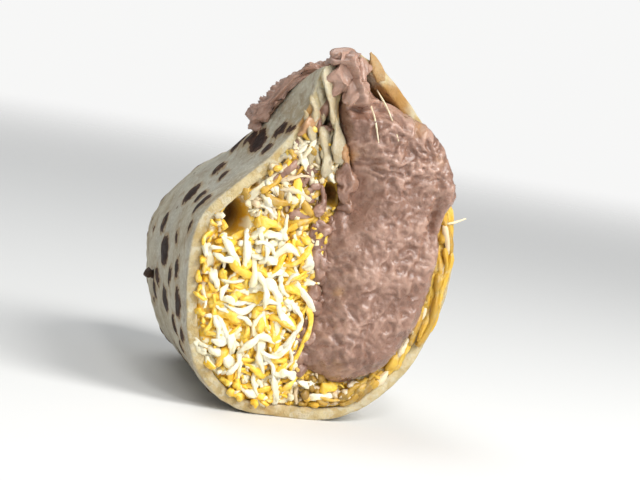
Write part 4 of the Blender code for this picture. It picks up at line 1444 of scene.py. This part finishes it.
def charred_finish():
    """Burnt flour: black brown and dry."""
    made, tree, shader = new_finish("charred_flour")
    base = mottled(tree, (0.09, 0.05, 0.032), (0.025, 0.015, 0.011), 500.0, 1600.0)
    tree.links.new(base, shader.inputs["Base Color"])
    shader.inputs["Roughness"].default_value = 0.7
    relief(tree, shader, 1200.0, 3000.0, 0.5, 0.7, 0.0004)
    return made


# ---------------------------------------------------------------- the stage

VIEW_AZIMUTH = -21.5
VIEW_ELEVATION = 5.0
VIEW_ROLL = 9.5
VIEW_DISTANCE = 0.45
LENS = 112.0
AIM = (-0.5, 4.0, 40.5)   # section frame


def row_point(x, y, z):
    return Vector((np.array((x, y, z)) * MM + ORIGIN).tolist())


def studio():
    """A pale floor that fades into the backdrop, with broad soft lights."""
    scene = bpy.context.scene
    bpy.ops.mesh.primitive_circle_add(vertices=128, radius=3.0, fill_type="NGON")
    floor = bpy.context.active_object
    floor.name = "floor"
    made, tree, shader = new_finish("pale_floor")
    shader.inputs["Base Color"].default_value = (0.83, 0.83, 0.82, 1.0)
    shader.inputs["Roughness"].default_value = 0.85
    shader.inputs["Specular IOR Level"].default_value = 0.1
    where = tree.nodes.new("ShaderNodeTexCoord").outputs["Object"]
    reach = place_node(tree, "ShaderNodeVectorMath", {"operation": "LENGTH"}, n0=where)
    fade = soft_step(tree, reach.outputs["Value"], 0.25, 1.6)
    clear = tree.nodes.new("ShaderNodeBsdfTransparent")
    both = tree.nodes.new("ShaderNodeMixShader")
    tree.links.new(fade, both.inputs[0])
    tree.links.new(shader.outputs[0], both.inputs[1])
    tree.links.new(clear.outputs[0], both.inputs[2])
    tree.links.new(both.outputs[0], tree.nodes["Material Output"].inputs["Surface"])
    floor.data.materials.append(made)

    world = bpy.data.worlds.new("studio_air")
    scene.world = world
    world.use_nodes = True
    tree = world.node_tree
    light = tree.nodes["Background"]
    light.inputs["Color"].default_value = (0.96, 0.98, 1.0, 1.0)
    light.inputs["Strength"].default_value = 0.30
    seen = tree.nodes.new("ShaderNodeBackground")
    seen.inputs["Color"].default_value = (0.93, 0.93, 0.925, 1.0)
    seen.inputs["Strength"].default_value = 1.0
    both = tree.nodes.new("ShaderNodeMixShader")
    tree.links.new(tree.nodes.new("ShaderNodeLightPath").outputs["Is Camera Ray"], both.inputs[0])
    tree.links.new(light.outputs[0], both.inputs[1])
    tree.links.new(seen.outputs[0], both.inputs[2])
    tree.links.new(both.outputs[0], tree.nodes["World Output"].inputs["Surface"])

    for name, azimuth, elevation, distance, size, watts, tint in (
            ("key_softbox", 34.0, 40.0, 0.75, 0.40, 5.0, (1.0, 0.985, 0.96)),
            ("glint", -8.0, 38.0, 0.6, 0.10, 0.7, (1.0, 1.0, 1.0)),
            ("front_fill", 12.0, 16.0, 1.1, 0.8, 2.0, (0.98, 0.99, 1.0)),
            ("top_softbox", -160.0, 62.0, 0.9, 0.7, 2.6, (0.97, 0.99, 1.0))):
        lamp = bpy.data.lights.new(name, "AREA")
        lamp.shape = "DISK"
        lamp.size = size
        lamp.energy = watts
        lamp.color = tint
        holder = bpy.data.objects.new(name, lamp)
        scene.collection.objects.link(holder)
        a, e = math.radians(azimuth), math.radians(elevation)
        back = Vector((math.sin(a) * math.cos(e), -math.cos(a) * math.cos(e), math.sin(e)))
        holder.location = row_point(0, 20, 35) + back * distance
        holder.rotation_euler = back.to_track_quat("Z", "Y").to_euler()


def camera():
    scene = bpy.context.scene
    lens = bpy.data.cameras.new("camera")
    lens.lens = LENS
    lens.clip_start = 0.02
    holder = bpy.data.objects.new("camera", lens)
    scene.collection.objects.link(holder)
    a, e = math.radians(VIEW_AZIMUTH), math.radians(VIEW_ELEVATION)
    back = Vector((math.sin(a) * math.cos(e), -math.cos(a) * math.cos(e), math.sin(e)))
    holder.location = row_point(*AIM) + back * VIEW_DISTANCE
    holder.rotation_mode = "QUATERNION"
    holder.rotation_quaternion = back.to_track_quat("Z", "Y") @ Quaternion(
        (0.0, 0.0, 1.0), math.radians(VIEW_ROLL))
    scene.camera = holder


def main():
    camera()
    studio()
    griddled = tortilla_finish()
    paste = bean_finish()
    yellow = cheese_finish("yellow_cheese", (0.98, 0.68, 0.10), (0.96, 0.55, 0.035),
                           (0.18, 0.095, 0.03))
    white = cheese_finish("white_cheese", (0.94, 0.90, 0.75), (0.95, 0.86, 0.58),
                          (0.66, 0.47, 0.27))
    wrap, places = tortilla_wrap(griddled)
    end_cap(griddled, places)
    bean_mash(paste)
    cheese_core(yellow)
    cheese_heap(yellow, white)
    bean_smears(paste)
    leaf_scraps(griddled)
    strings_and_scraps(paste, white, charred_finish())
    bpy.context.scene.view_settings.view_transform = "Standard"


main()
